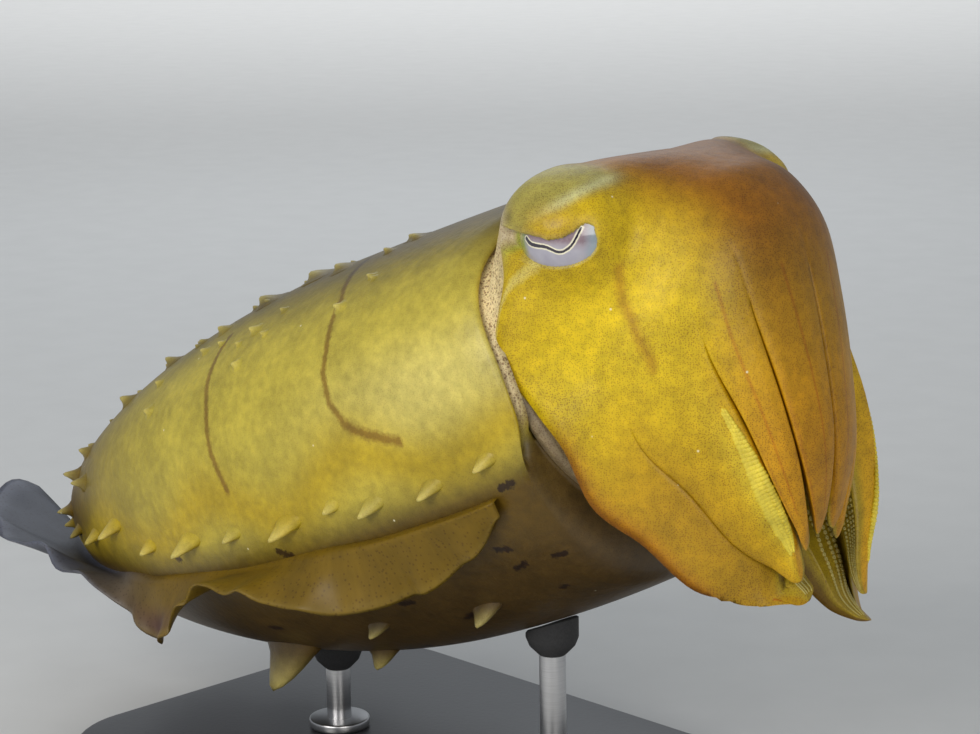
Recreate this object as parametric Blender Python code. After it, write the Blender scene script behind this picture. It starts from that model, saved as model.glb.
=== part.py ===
"""Broadclub cuttlefish, life size, held on a plain display stand.

The animal faces +X with its back up. Its arms droop in front of the head, and
the body slopes down to the tail. Lengths are metres, angles degrees, and the
origin is the middle of the underside of the stand's base.
"""
import math
import random

import bmesh
import bpy
from mathutils import Matrix, Vector

# Driving sizes of the whole animal
MANTLE_LENGTH = 0.275
MANTLE_HALF_WIDTH = 0.066
MANTLE_RISE = 0.049
MANTLE_DROP = 0.073
MANTLE_PITCH = math.radians(21.2)
HEAD_YAW = math.radians(7.0)
GAP = 0.0003

# Middle of the mantle opening, above and ahead of the middle of the stand
BODY_PLACE = Vector((0.075, 0.0, 0.160))

# Stand
BASE_LENGTH = 0.240
BASE_WIDTH = 0.150
BASE_THICKNESS = 0.012
BASE_CORNER = 0.030
BASE_EDGE = 0.002
ROD_RADIUS = 0.004
ROD_COLLAR = 0.010
ROD_COLLAR_HEIGHT = 0.003
ROD_SADDLE = 0.008
ROD_SADDLE_HEIGHT = 0.010
ROD_STATIONS = (("front", 0.22), ("rear", 0.60))
ROD_SIDES = 16

# Mantle: collar wall, depth of the opening that holds the neck, and the lobe
# of the back's rim that reaches forward between the eyes
MANTLE_SIDES = 36
MANTLE_STATIONS = 18
MANTLE_FULLNESS = 2.2
MANTLE_WALL = 0.0045
OPENING_DEPTH = 0.016
DORSAL_LOBE = 0.020
NECK_STEP = 0.0085
NECK_FOLD = 0.60
NECK_ROOM = 0.0014

# Head and arm crown. Each station has a front or dorsal point (x, z), a side
# or keel point (x, half width, z), and a ventral point (x, z).
HEAD_STATIONS = (
    ((0.0075, 0.048), (-0.001, 0.0515, 0.006), (0.022, -0.044)),
    ((0.011, 0.0540), (-0.002, 0.0525, 0.004), (0.023, -0.044)),
    ((0.021, 0.0565), (-0.0025, 0.0525, 0.000), (0.024, -0.0435)),
    ((0.034, 0.0550), (0.001, 0.0515, -0.005), (0.025, -0.043)),
    ((0.0455, 0.0515), (0.007, 0.0505, -0.0125), (0.026, -0.043)),
    ((0.0555, 0.041), (0.0138, 0.049, -0.021), (0.030, -0.044)),
    ((0.0615, 0.023), (0.0207, 0.046, -0.036), (0.036, -0.047)),
    ((0.0665, 0.002), (0.0325, 0.0395, -0.0455), (0.043, -0.051)),
    ((0.0695, -0.019), (0.0435, 0.032, -0.058), (0.050, -0.056)),
    ((0.068, -0.038), (0.0531, 0.022, -0.0634), (0.057, -0.061)),
    ((0.064, -0.050), (0.0657, 0.012, -0.0650), (0.066, -0.063)),
)
HEAD_FULLNESS = 2.3
HEAD_SIDES = 36
HEAD_RINGS = 12
CROWN_START = 0.42
CROWN_GAP = 0.001
KEEL_HALF_ANGLE = 9.0
KEEL_HEIGHT = 0.007

# Eyes: ball, lid shell over it, opening between the lids, and the swelling of
# the head above each eye
EYE_RADIUS = 0.0158
EYE_CENTRE = Vector((0.0110, -0.0374, 0.0372))
EYE_AXIS = Vector((0.16, -0.98, 0.10)).normalized()
EYE_SIDES = 16
LID_THICKNESS = 0.0018
LID_OPENING = (0.0152, 0.0080)
LID_DROP = 0.0014
BROW_CENTRE = Vector((-0.001, -0.036, 0.045))
BROW_DIRECTION = Vector((-0.28, -0.45, 0.85))
BROW_HEIGHT = 0.0095
BROW_SPREAD = 0.016

# Arms from the front pair to the ventral pair: first and last angle round the
# crown from the front midline, share of the crown's length, sample count
ARMS = (
    ("1", 0.0, 30.0, 0.93, 3),
    ("2", 30.0, 50.0, 0.94, 4),
    ("3", 50.0, 80.0, 0.98, 3),
    ("4", 80.0, 180.0, 1.00, 10),
)
ARM_STEPS = 7
ARM_SPLIT = 0.70
ARM_SPLIT_GAP = 0.0034
ARM_CORE = 0.50
ARM_GROOVE = 0.06
LEFT_ARM_SPREAD = {
    "3": Vector((0.003, 0.009, -0.010)),
    "4": Vector((0.001, 0.014, -0.013)),
}

# Suckers: rows across each arm's inner face, count along each arm length
SUCKER_SIDES = 5
SUCKER_ROWS = (0.27, 0.73)
SUCKERS_PER_LENGTH = 4
SUCKER_RADIUS = 0.0017
SUCKER_WIDTH_SHARE = 0.15
SUCKER_TIP_SHARE = 0.45

# Fins: root angle round the mantle, thickness at root and margin. Each row of
# a table gives a fin's width, its droop below level and its rearward lean, at
# even steps from the mantle's rim to its tail.
RIGHT_FIN = (
    (0.008, 80.0, 0.0), (0.011, 108.0, 0.0), (0.014, 112.0, 0.1), (0.018, 108.0, 0.1),
    (0.0185, 104.0, 0.1), (0.018, 84.0, 0.1), (0.017, 52.0, 0.1), (0.016, 26.0, 0.1),
    (0.016, 8.0, 0.1), (0.016, -2.0, 0.1), (0.016, 17.0, 0.1), (0.017, 42.0, 0.1),
    (0.019, 62.0, 0.1), (0.017, 78.0, 0.1), (0.009, 40.0, 0.15), (0.014, -18.0, 0.3),
    (0.024, -30.0, 0.5), (0.034, -28.0, 0.75), (0.042, -24.0, 1.1), (0.050, -20.0, 1.5),
    (0.058, -16.0, 2.0),
)
LEFT_FIN = (
    (0.008, 40.0, 0.0), (0.019, 50.0, 0.1), (0.022, 35.0, 0.1), (0.022, 10.0, 0.1),
    (0.023, 20.0, 0.1), (0.025, 40.0, 0.1), (0.027, 25.0, 0.2), (0.029, 0.0, 0.3),
    (0.030, 5.0, 0.6), (0.028, 10.0, 1.2), (0.026, 0.0, 2.0),
)
FIN_ROOT = 117.0
FIN_FIRST = 0.035
FIN_LAST = 0.972
FIN_STEPS = 30
FIN_ROOT_THICKNESS = 0.0030
FIN_EDGE_THICKNESS = 0.0009
FIN_KNEE = 0.0022
FIN_COLUMNS = (0.10, 0.35, 0.65, 1.0)

# Funnel under the head
FUNNEL_WIDTH = 0.021
FUNNEL_HEIGHT = 0.0080
FUNNEL_WALL = 0.0016
FUNNEL_SIDES = 16

# Papillae of the skin as (s, angle, height, root radius)
EDGE_PAPILLAE = (
    (0.69, 96.0, 0.0090, 0.0036), (0.615, 103.0, 0.0045, 0.0026), (0.52, 103.5, 0.0085, 0.0036),
    (0.43, 105.0, 0.0040, 0.0026), (0.33, 105.5, 0.0080, 0.0036), (0.19, 106.5, 0.0055, 0.0030),
    (0.10, 107.0, 0.0050, 0.0028), (0.03, 106.0, 0.0035, 0.0024),
    (0.82, 66.0, 0.0085, 0.0034), (0.79, 55.0, 0.0055, 0.0028), (0.77, 76.0, 0.0070, 0.0030),
    (0.88, 84.0, 0.0080, 0.0034), (0.93, 92.0, 0.0070, 0.0032), (0.80, 100.0, 0.0050, 0.0028),
)
BACK_PAPILLAE = (
    (0.69, 40.0, 0.0070, 0.0030), (0.61, 30.0, 0.0070, 0.0030), (0.56, 62.0, 0.0030, 0.0022),
    (0.47, 34.0, 0.0040, 0.0026), (0.37, 60.0, 0.0030, 0.0022), (0.425, 24.0, 0.0050, 0.0040),
    (0.36, 18.0, 0.0045, 0.0050), (0.30, 22.0, 0.0035, 0.0034), (0.21, 16.0, 0.0030, 0.0030),
    (0.75, 20.0, 0.0060, 0.0030), (0.86, 34.0, 0.0070, 0.0032),
)
BELLY_FLAPS = (
    (0.55, 156.0, 0.0150, 0.0080), (0.43, 165.0, 0.0060, 0.0045),
    (0.17, 149.0, 0.0055, 0.0042), (0.33, 144.0, 0.0040, 0.0030),
)
PAPILLA_SIDES = 5
PAPILLA_SUNK = 0.0022
FLAP_FLATNESS = 0.45

random.seed(7)


def clear_scene():
    for item in list(bpy.data.objects):
        bpy.data.objects.remove(item, do_unlink=True)


def ease(value):
    """Smooth step from 0 to 1."""
    value = min(max(value, 0.0), 1.0)
    return value * value * (3.0 - 2.0 * value)


def signed_power(value, power):
    return math.copysign(abs(value) ** power, value)


def mirrored(point):
    return Vector((point.x, -point.y, point.z))


def along(stations, t):
    """Point at t on the smooth curve through evenly spaced stations."""
    last = len(stations) - 1
    place = min(max(t, 0.0), 1.0) * last
    first = min(int(place), last - 1)
    f = place - first
    before = stations[max(first - 1, 0)]
    after = stations[min(first + 2, last)]
    return tuple(
        0.5 * (2 * b + (c - a) * f + (2 * a - 5 * b + 4 * c - d) * f ** 2 + (3 * b - a - 3 * c + d) * f ** 3)
        for a, b, c, d in zip(before, stations[first], stations[first + 1], after))


def material(name, colour, roughness, metallic=0.0):
    made = bpy.data.materials.new(name)
    made.use_nodes = True
    shader = made.node_tree.nodes["Principled BSDF"]
    shader.inputs["Base Color"].default_value = (*colour, 1.0)
    shader.inputs["Roughness"].default_value = roughness
    shader.inputs["Metallic"].default_value = metallic
    return made


def make_object(name, vertices, faces, finish):
    """Object from points and faces, all faces cut to triangles and facing out."""
    mesh = bpy.data.meshes.new(name)
    mesh.from_pydata([tuple(v) for v in vertices], [], faces)
    work = bmesh.new()
    work.from_mesh(mesh)
    bmesh.ops.triangulate(work, faces=work.faces[:], quad_method="SHORT_EDGE")
    bmesh.ops.recalc_face_normals(work, faces=work.faces[:])
    work.to_mesh(mesh)
    work.free()
    mesh.materials.append(finish)
    mesh.shade_smooth()
    made = bpy.data.objects.new(name, mesh)
    bpy.context.collection.objects.link(made)
    return made


def ring_faces(count, rings):
    """Quads that join each ring of points to the next."""
    faces = []
    for low in range(rings - 1):
        for i in range(count):
            j = (i + 1) % count
            faces.append((low * count + i, low * count + j, (low + 1) * count + j, (low + 1) * count + i))
    return faces


def loft(name, rings, finish, tip=None):
    """Closed body through rings of equal count, each end closed on its middle or on a tip."""
    count = len(rings[0])
    vertices = [point for ring in rings for point in ring]
    faces = ring_faces(count, len(rings))
    first_middle = sum(rings[0], Vector()) / count
    last_middle = tip or sum(rings[-1], Vector()) / count
    for first, middle in ((0, first_middle), ((len(rings) - 1) * count, last_middle)):
        vertices.append(middle)
        hub = len(vertices) - 1
        for i in range(count):
            faces.append((first + i, first + (i + 1) % count, hub))
    return make_object(name, vertices, faces, finish)


def keep_largest(body):
    """Drop every closed surface of a body but its largest."""
    work = bmesh.new()
    work.from_mesh(body.data)
    left = set(work.faces)
    islands = []
    while left:
        stack = [left.pop()]
        island = list(stack)
        while stack:
            for edge in stack.pop().edges:
                for face in edge.link_faces:
                    if face in left:
                        left.remove(face)
                        stack.append(face)
                        island.append(face)
        islands.append(island)
    islands.sort(key=lambda island: sum(face.calc_area() for face in island))
    for island in islands[:-1]:
        bmesh.ops.delete(work, geom=island, context="FACES")
    loose = [v for v in work.verts if not v.link_faces]
    bmesh.ops.delete(work, geom=loose, context="VERTS")
    bmesh.ops.triangulate(work, faces=work.faces[:])
    work.to_mesh(body.data)
    work.free()


def combine(body, pieces, operation):
    """Union or cut a body with closed pieces, and remove the pieces."""
    group = bpy.data.collections.new(body.name + "_pieces")
    bpy.context.scene.collection.children.link(group)
    for piece in pieces:
        group.objects.link(piece)
    boolean = body.modifiers.new("join", "BOOLEAN")
    boolean.operation = operation
    boolean.operand_type = "COLLECTION"
    boolean.collection = group
    boolean.solver = "MANIFOLD"
    evaluated = body.evaluated_get(bpy.context.evaluated_depsgraph_get())
    mesh = bpy.data.meshes.new_from_object(evaluated)
    body.modifiers.clear()
    body.data = mesh
    for piece in pieces:
        bpy.data.objects.remove(piece, do_unlink=True)
    bpy.data.collections.remove(group)
    keep_largest(body)
    body.data.shade_smooth()


def mantle_half(s, peak, front, power, tail_power):
    """Share of the full half size at s along the mantle."""
    if s < peak:
        return 1.0 - (1.0 - front) * ((peak - s) / peak) ** 2
    fall = 1.0 - min((s - peak) / (1.0 - peak), 1.0) ** power
    return max(fall, 0.0) ** (1.0 / tail_power)


def body_place(x, y, z):
    """From the mantle's own level frame to its place on the stand."""
    turned = Matrix.Rotation(-MANTLE_PITCH, 3, "Y") @ Vector((x, y, z))
    return turned + BODY_PLACE


def mantle_point(s, phi, inset=0.0):
    """Point on the mantle, from its rim (s 0) to its tail (s 1).

    phi turns from the dorsal midline (0) over the right side (90) to the
    ventral midline (180). inset moves the point into the flesh.
    """
    sine = math.sin(math.radians(phi))
    cosine = math.cos(math.radians(phi))
    half_width = MANTLE_HALF_WIDTH * mantle_half(s, 0.38, 0.90, 2.1, 1.7) - inset
    rise = MANTLE_RISE * mantle_half(s, 0.33, 0.96, 1.9, 1.5) - inset
    drop = MANTLE_DROP * mantle_half(s, 0.30, 0.92, 1.9, 1.4) - inset
    power = 2.0 / MANTLE_FULLNESS
    y = -max(half_width, 0.0) * signed_power(sine, power)
    z = max(rise if cosine > 0.0 else drop, 0.0) * signed_power(cosine, power)
    lobe = DORSAL_LOBE * (max(cosine, 0.0) ** 8 - 0.2)
    x = -(MANTLE_LENGTH - inset) * s + lobe * (1.0 - s) ** 3
    return body_place(x, y, z)


def mantle_directions(s, phi):
    """Outward, rearward and downward directions of the mantle's skin."""
    step = 0.01
    rear = mantle_point(min(s + step, 0.999), phi) - mantle_point(s - step, phi)
    down = mantle_point(s, phi + 2.0) - mantle_point(s, phi - 2.0)
    rear.normalize()
    down.normalize()
    return rear.cross(down).normalized(), rear, down


def head_place(point, t=1.0):
    """From the head's own frame to its place on the stand.

    The turn to the left eases in from the neck. It comes sooner on the left,
    where the skin is pressed together, than on the right, where it stretches.
    """
    yaw = HEAD_YAW * max(ease(t / 0.25), ease(0.5 + point.y / 0.04))
    return Matrix.Rotation(yaw, 3, "Z") @ point + BODY_PLACE


def head_point(t, phi, keel=True):
    """Point on the head and arm crown in the head's own frame.

    t runs from the neck (0) to the arm tips (1). phi turns from the dorsal
    or front midline (0) over the right keel (90) to the ventral midline (180),
    and back up the left side.
    """
    front, side, ventral = (along([row[k] for row in HEAD_STATIONS], t) for k in range(3))
    phi = phi % 360.0
    left = phi > 180.0
    angle = 360.0 - phi if left else phi
    sine = math.sin(math.radians(angle))
    cosine = math.cos(math.radians(angle))
    power = 2.0 / HEAD_FULLNESS
    flange = KEEL_HEIGHT * ease((t - 0.15) / 0.3) * ease((1.02 - t) / 0.15)
    half_width = side[1] - flange
    middle = Vector((side[0] + 0.5 * flange, 0.0, side[2] + 0.5 * flange))
    end = front if cosine >= 0.0 else ventral
    reach = Vector((end[0], 0.0, end[1])) - middle
    point = middle + reach * abs(cosine) ** power
    point.y = -half_width * sine ** power
    if keel:
        share = max(1.0 - abs(angle - 90.0) / KEEL_HALF_ANGLE, 0.0)
        point += Vector((-0.5, -1.0, -0.5)) * flange * share
    near = math.exp(-(point - BROW_CENTRE).length_squared / (2.0 * BROW_SPREAD ** 2))
    point += BROW_DIRECTION * BROW_HEIGHT * near
    return mirrored(point) if left else point


def crown_middle(t):
    """Point that the arms of the crown surround at t, in the head's own frame."""
    return head_point(t, 0.0, False).lerp(head_point(t, 180.0, False), 0.55)


def spike(root, outward, lean, height, radius, flat=1.0):
    """Tapered papilla, its root sunk below the skin and its tip bent back."""
    side = outward.cross(lean).normalized()
    along_skin = side.cross(outward).normalized()
    rings = []
    for level, share, bend in ((-PAPILLA_SUNK, 1.15, 0.0), (0.45 * height, 0.55, 0.2)):
        middle = root + outward * level + lean * (bend * height)
        ring = []
        for i in range(PAPILLA_SIDES):
            turn = 2.0 * math.pi * i / PAPILLA_SIDES
            ring.append(middle + (along_skin * math.cos(turn) + side * (math.sin(turn) * flat)) * radius * share)
        rings.append(ring)
    tip = root + outward * height + lean * (0.7 * height)
    return loft("papilla", rings, bpy.data.materials["mantle_skin"], tip)


def mantle_papillae():
    made = []
    for turn in (1.0, -1.0):
        for s, phi, height, radius in EDGE_PAPILLAE + BACK_PAPILLAE:
            outward, rear, _ = mantle_directions(s, turn * phi)
            vary = random.uniform(0.9, 1.1) if turn < 0.0 else 1.0
            made.append(spike(mantle_point(s, turn * phi), outward, rear, height * vary, radius))
        for s, phi, height, radius in BELLY_FLAPS:
            outward, rear, _ = mantle_directions(s, turn * phi)
            made.append(spike(mantle_point(s, turn * phi), outward, rear * 0.4, height, radius, FLAP_FLATNESS))
    return made


def build_mantle(finish):
    turns = [360.0 * i / MANTLE_SIDES for i in range(MANTLE_SIDES)]
    floor = OPENING_DEPTH / MANTLE_LENGTH
    lip = ((floor, 1.3), (0.5 * floor, 1.2), (0.004, 1.0), (-0.007, 0.6), (-0.005, 0.15))
    rings = [[mantle_point(s, phi, MANTLE_WALL * share) for phi in turns] for s, share in lip]
    for k in range(MANTLE_STATIONS):
        s = math.sin(0.5 * math.pi * k / MANTLE_STATIONS)
        rings.append([mantle_point(s, phi) for phi in turns])
    rings.append([mantle_point(0.9996, phi) for phi in turns])
    mantle = loft("mantle", rings, finish)
    combine(mantle, mantle_papillae(), "UNION")
    return mantle


def eye_frame(side):
    """Eye's middle, outward axis, forward and upward directions in place."""
    flip = mirrored if side == "left" else (lambda point: point)
    centre = head_place(flip(EYE_CENTRE))
    axis = (head_place(flip(EYE_CENTRE + EYE_AXIS)) - centre).normalized()
    up = (Vector((0.0, 0.0, 1.0)) - axis * axis.z).normalized()
    forward = up.cross(axis).normalized()
    if forward.x < 0.0:
        forward = -forward
    return centre, axis, forward, up


def ball(name, centre, radius, finish, axis=Vector((0.0, 0.0, 1.0))):
    """Sphere whose poles lie on the axis."""
    turned = axis.to_track_quat("Z", "Y").to_matrix()
    rings = []
    rows = EYE_SIDES // 2
    for k in range(1, rows):
        lift = math.pi * k / rows
        rings.append([centre + turned @ Vector((math.sin(lift) * math.cos(2 * math.pi * i / EYE_SIDES),
                                                math.sin(lift) * math.sin(2 * math.pi * i / EYE_SIDES),
                                                math.cos(lift))) * radius for i in range(EYE_SIDES)])
    made = loft(name, rings, finish)
    hubs = len(rings) * EYE_SIDES
    made.data.vertices[hubs].co = centre + turned @ Vector((0.0, 0.0, radius))
    made.data.vertices[hubs + 1].co = centre - turned @ Vector((0.0, 0.0, radius))
    return made


def lid_opening(side, finish):
    """Cutter that frees the eye between its lids."""
    centre, axis, forward, up = eye_frame(side)
    rings = []
    for reach, share in ((0.35 * EYE_RADIUS, 0.45), (1.35 * EYE_RADIUS, 1.25)):
        middle = centre + axis * reach - up * LID_DROP * share
        rings.append([middle + (forward * LID_OPENING[0] * math.cos(2 * math.pi * i / EYE_SIDES)
                                + up * LID_OPENING[1] * math.sin(2 * math.pi * i / EYE_SIDES)) * share
                      for i in range(EYE_SIDES)])
    return loft("lid_opening", rings, finish)


def build_head(finish):
    turns = [360.0 * i / HEAD_SIDES for i in range(HEAD_SIDES)]
    depth = (OPENING_DEPTH - NECK_ROOM) / MANTLE_LENGTH
    rings = []
    for rise, share in ((0.0, 0.95), (0.5, 1.0), (1.0, 1.2)):
        ring = []
        for phi in turns:
            turn = math.radians(phi)
            hollow = 0.95 * max(-math.cos(turn), 0.0) ** 2
            held_back = rise * NECK_FOLD * max(-math.sin(turn), 0.0)
            ring.append(mantle_point(depth * (1.0 - rise + held_back), phi, NECK_STEP * (share + hollow)))
        rings.append(ring)
    for k in range(HEAD_RINGS + 1):
        t = CROWN_START * k / HEAD_RINGS
        rings.append([head_place(head_point(t, phi), t) for phi in turns])
    head = loft("head", rings, finish, head_place(crown_middle(CROWN_START)))
    shells = []
    cutters = []
    for side in ("right", "left"):
        centre, axis, _, _ = eye_frame(side)
        shells.append(ball("lid_shell", centre, EYE_RADIUS + LID_THICKNESS, finish, axis))
        cutters.append(ball("eye_socket", centre, EYE_RADIUS + GAP, finish, axis))
        cutters.append(lid_opening(side, finish))
    combine(head, shells, "UNION")
    combine(head, cutters, "DIFFERENCE")
    return head


def build_eyes(finish):
    for side in ("right", "left"):
        centre, axis, _, _ = eye_frame(side)
        ball("eye_" + side, centre, EYE_RADIUS, finish, axis)


def crown_speed(t, phi):
    """Length of skin passed per unit of t."""
    return (head_point(t + 0.01, phi) - head_point(t - 0.01, phi)).length / 0.02


def arm_section(number, side, station, shift=0.0):
    """Outer and inner points of one arm near a station, in place.

    shift moves each point that far along the skin towards the tip.
    """
    first_angle, last_angle, tip, samples = next(row[1:] for row in ARMS if row[0] == number)
    middle_angle = 0.5 * (first_angle + last_angle)
    thin = max((station / tip - 0.80) / 0.21, 0.0)
    close = math.sqrt(1.0 - thin ** 2)
    outer = []
    inner = []
    for i in range(samples + 1):
        across = 2.0 * i / samples - 1.0
        angle = middle_angle + 0.5 * (last_angle - first_angle) * across
        angle = middle_angle + (angle - middle_angle) * (0.2 + 0.8 * close)
        t = station + shift / crown_speed(station, angle)
        centre = crown_middle(t)
        surface = head_point(t, angle)
        radius = (surface - centre).length
        room = math.degrees(0.75 * GAP / radius)
        surface = head_point(t, angle - room * across)
        depth = 1.0 - ARM_GROOVE * across ** 6 * ease((t - CROWN_START) / 0.2)
        core = ARM_CORE + (0.82 - ARM_CORE) * (1.0 - close)
        outer.append(centre + (surface - centre) * depth)
        inner.append(centre + (surface - centre) * core)
    points = []
    for row in (outer, inner):
        if side == "left":
            spread = LEFT_ARM_SPREAD.get(number, Vector()) * ease((station - CROWN_START) / 0.3)
            row = [mirrored(point) + spread for point in row]
        points.append([head_place(point) for point in row])
    return points


def sucker(root, outward, radius, finish):
    """Cup on a short stalk, its root sunk in the arm."""
    side = outward.orthogonal().normalized()
    other = outward.cross(side)
    rings = []
    for level, share in ((-0.7, 0.8), (0.8, 1.0)):
        middle = root + outward * radius * level
        rings.append([middle + (side * math.cos(2 * math.pi * i / SUCKER_SIDES)
                                + other * math.sin(2 * math.pi * i / SUCKER_SIDES)) * radius * share
                      for i in range(SUCKER_SIDES)])
    return loft("sucker", rings, finish, root + outward * radius * 0.35)


def build_arm_length(name, number, side, start, end, shifts, finish):
    """One length of an arm with its suckers, its end sections moved along the skin."""
    sections = []
    for k in range(ARM_STEPS + 1):
        shift = {0: shifts[0], ARM_STEPS: shifts[1]}.get(k, 0.0)
        sections.append(arm_section(number, side, start + (end - start) * k / ARM_STEPS, shift))
    across = len(sections[0][0])
    vertices = []
    for outer, inner in sections:
        vertices += outer + inner[::-1]
    size = 2 * across
    faces = ring_faces(size, ARM_STEPS + 1)
    for row in (0, ARM_STEPS * size):
        for i in range(across - 1):
            faces.append((row + i, row + i + 1, row + size - 2 - i, row + size - 1 - i))
    arm = make_object(name, vertices, faces, finish)
    suckers = []
    tip = next(row[3] for row in ARMS if row[0] == number)
    for k in range(SUCKERS_PER_LENGTH):
        t = start + (end - start) * (k + 0.65) / SUCKERS_PER_LENGTH
        outer, inner = arm_section(number, side, t)
        for place in SUCKER_ROWS:
            reach = place * (across - 1)
            low = int(reach)
            root = inner[low].lerp(inner[low + 1], reach - low)
            above = outer[low].lerp(outer[low + 1], reach - low)
            width = (inner[0] - inner[-1]).length
            taper = 1.0 - (1.0 - SUCKER_TIP_SHARE) * (t - CROWN_START) / (tip - CROWN_START)
            radius = min(SUCKER_RADIUS * taper, SUCKER_WIDTH_SHARE * width)
            suckers.append(sucker(root, (root - above).normalized(), radius, finish))
    combine(arm, suckers, "UNION")
    return arm


def build_arms(finish):
    for side in ("right", "left"):
        for number, _, _, tip, _ in ARMS:
            build_arm_length(f"arm_{side}_{number}_base", number, side,
                             CROWN_START, ARM_SPLIT, (CROWN_GAP, -0.5 * ARM_SPLIT_GAP), finish)
            build_arm_length(f"arm_{side}_{number}_tip", number, side,
                             ARM_SPLIT, tip, (0.5 * ARM_SPLIT_GAP, 0.0), finish)


def fin_section(side, s):
    """Upper and lower points of a fin from its root to its margin."""
    outward, rear, _ = mantle_directions(s, FIN_ROOT)
    width, droop, lean = along(RIGHT_FIN if side == "right" else LEFT_FIN, s)
    droop = math.radians(droop)
    level = Vector((0.0, -1.0, 0.0))
    below = body_place(0.0, 0.0, -1.0) - BODY_PLACE
    across = (level * math.cos(droop) + below * math.sin(droop) + rear * lean).normalized()
    normal = rear.cross(across).normalized()
    half_turn = math.degrees(0.5 * FIN_ROOT_THICKNESS / MANTLE_HALF_WIDTH)
    upper = [mantle_point(s, FIN_ROOT - half_turn, -1.5 * GAP)]
    lower = [mantle_point(s, FIN_ROOT + half_turn, -1.5 * GAP)]
    knee = mantle_point(s, FIN_ROOT) + outward * FIN_KNEE
    for share in FIN_COLUMNS:
        middle = knee + across * width * share
        half = 0.5 * (FIN_ROOT_THICKNESS + (FIN_EDGE_THICKNESS - FIN_ROOT_THICKNESS) * share ** 0.6)
        upper.append(middle + normal * half)
        lower.append(middle - normal * half)
    points = upper + lower[::-1]
    return [mirrored(point) for point in points] if side == "left" else points


def build_fin(side, finish):
    vertices = []
    for k in range(FIN_STEPS + 1):
        vertices += fin_section(side, FIN_FIRST + (FIN_LAST - FIN_FIRST) * k / FIN_STEPS)
    size = 2 * (len(FIN_COLUMNS) + 1)
    faces = []
    for k in range(FIN_STEPS):
        for i in range(size):
            j = (i + 1) % size
            a, b = k * size + i, k * size + j
            c, d = a + size, b + size
            if i < size // 2:
                faces += [(a, b, d), (a, d, c)]
            else:
                faces += [(a, b, c), (b, d, c)]
    for row in (0, FIN_STEPS * size):
        for i in range(size // 2 - 1):
            faces.append((row + i, row + i + 1, row + size - 2 - i, row + size - 1 - i))
    return make_object("fin_" + side, vertices, faces, finish)


def build_funnel(finish):
    """Flattened tube from inside the mantle's ventral rim, open at its front."""
    rings = []
    wall = MANTLE_WALL * 1.3 + 0.0008
    bore = FUNNEL_WALL / FUNNEL_HEIGHT * 2.0
    outside = [(0.054, 0.9), (0.03, 1.0), (0.0, 1.0), (-0.015, 0.97), (-0.025, 0.88), (-0.035, 0.80)]
    inside = [(-0.035, 0.80 - bore), (-0.025, 0.80 - bore), (-0.015, 0.78 - bore)]
    for s, share in outside + inside:
        middle = mantle_point(s, 180.0, wall + 0.5 * FUNNEL_HEIGHT)
        ring = []
        for i in range(FUNNEL_SIDES):
            turn = 2.0 * math.pi * i / FUNNEL_SIDES
            offset = Matrix.Rotation(-MANTLE_PITCH, 3, "Y") @ Vector((
                0.0, 0.5 * FUNNEL_WIDTH * share * math.cos(turn), 0.5 * FUNNEL_HEIGHT * share * math.sin(turn)))
            ring.append(middle + offset)
        rings.append(ring)
    return loft("funnel", rings, finish)


def build_base(finish):
    corner_steps = 5
    rings = []
    for z, inset in ((0.0, BASE_EDGE * 0.5), (BASE_EDGE * 0.5, 0.0),
                     (BASE_THICKNESS - BASE_EDGE, 0.0), (BASE_THICKNESS, BASE_EDGE)):
        ring = []
        for quarter in range(4):
            sign_x = 1.0 if quarter in (0, 3) else -1.0
            sign_y = 1.0 if quarter in (0, 1) else -1.0
            middle_x = sign_x * (0.5 * BASE_LENGTH - BASE_CORNER)
            middle_y = sign_y * (0.5 * BASE_WIDTH - BASE_CORNER)
            for k in range(corner_steps + 1):
                turn = 0.5 * math.pi * (quarter + k / corner_steps)
                reach = BASE_CORNER - inset
                ring.append(Vector((middle_x + reach * math.cos(turn), middle_y + reach * math.sin(turn), z)))
        rings.append(ring)
    return loft("stand_base", rings, finish)


def belly_height(mantle, x, y):
    """Height of the lowest skin above a point of the stand."""
    _, hit, _, _ = mantle.ray_cast(Vector((x, y, 0.0)), Vector((0.0, 0.0, 1.0)))
    return hit.z


def build_rods(mantle, finish):
    for name, s in ROD_STATIONS:
        foot = mantle_point(s, 180.0)
        top = foot.z - ROD_SADDLE_HEIGHT
        low = BASE_THICKNESS + GAP
        profile = ((low, ROD_COLLAR), (low + ROD_COLLAR_HEIGHT, ROD_COLLAR * 0.96),
                   (low + ROD_COLLAR_HEIGHT + 0.001, ROD_RADIUS), (top, ROD_RADIUS), (None, ROD_SADDLE))
        rings = []
        for z, radius in profile:
            ring = []
            for i in range(ROD_SIDES):
                turn = 2.0 * math.pi * i / ROD_SIDES
                point = Vector((foot.x + radius * math.cos(turn), radius * math.sin(turn), z or 0.0))
                if z is None:
                    point.z = belly_height(mantle, point.x, point.y) - 1.2 * GAP
                ring.append(point)
            rings.append(ring)
        middle = Vector((foot.x, 0.0, belly_height(mantle, foot.x, 0.0) - 1.5 * GAP))
        loft("stand_rod_" + name, rings, finish, middle)


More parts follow.
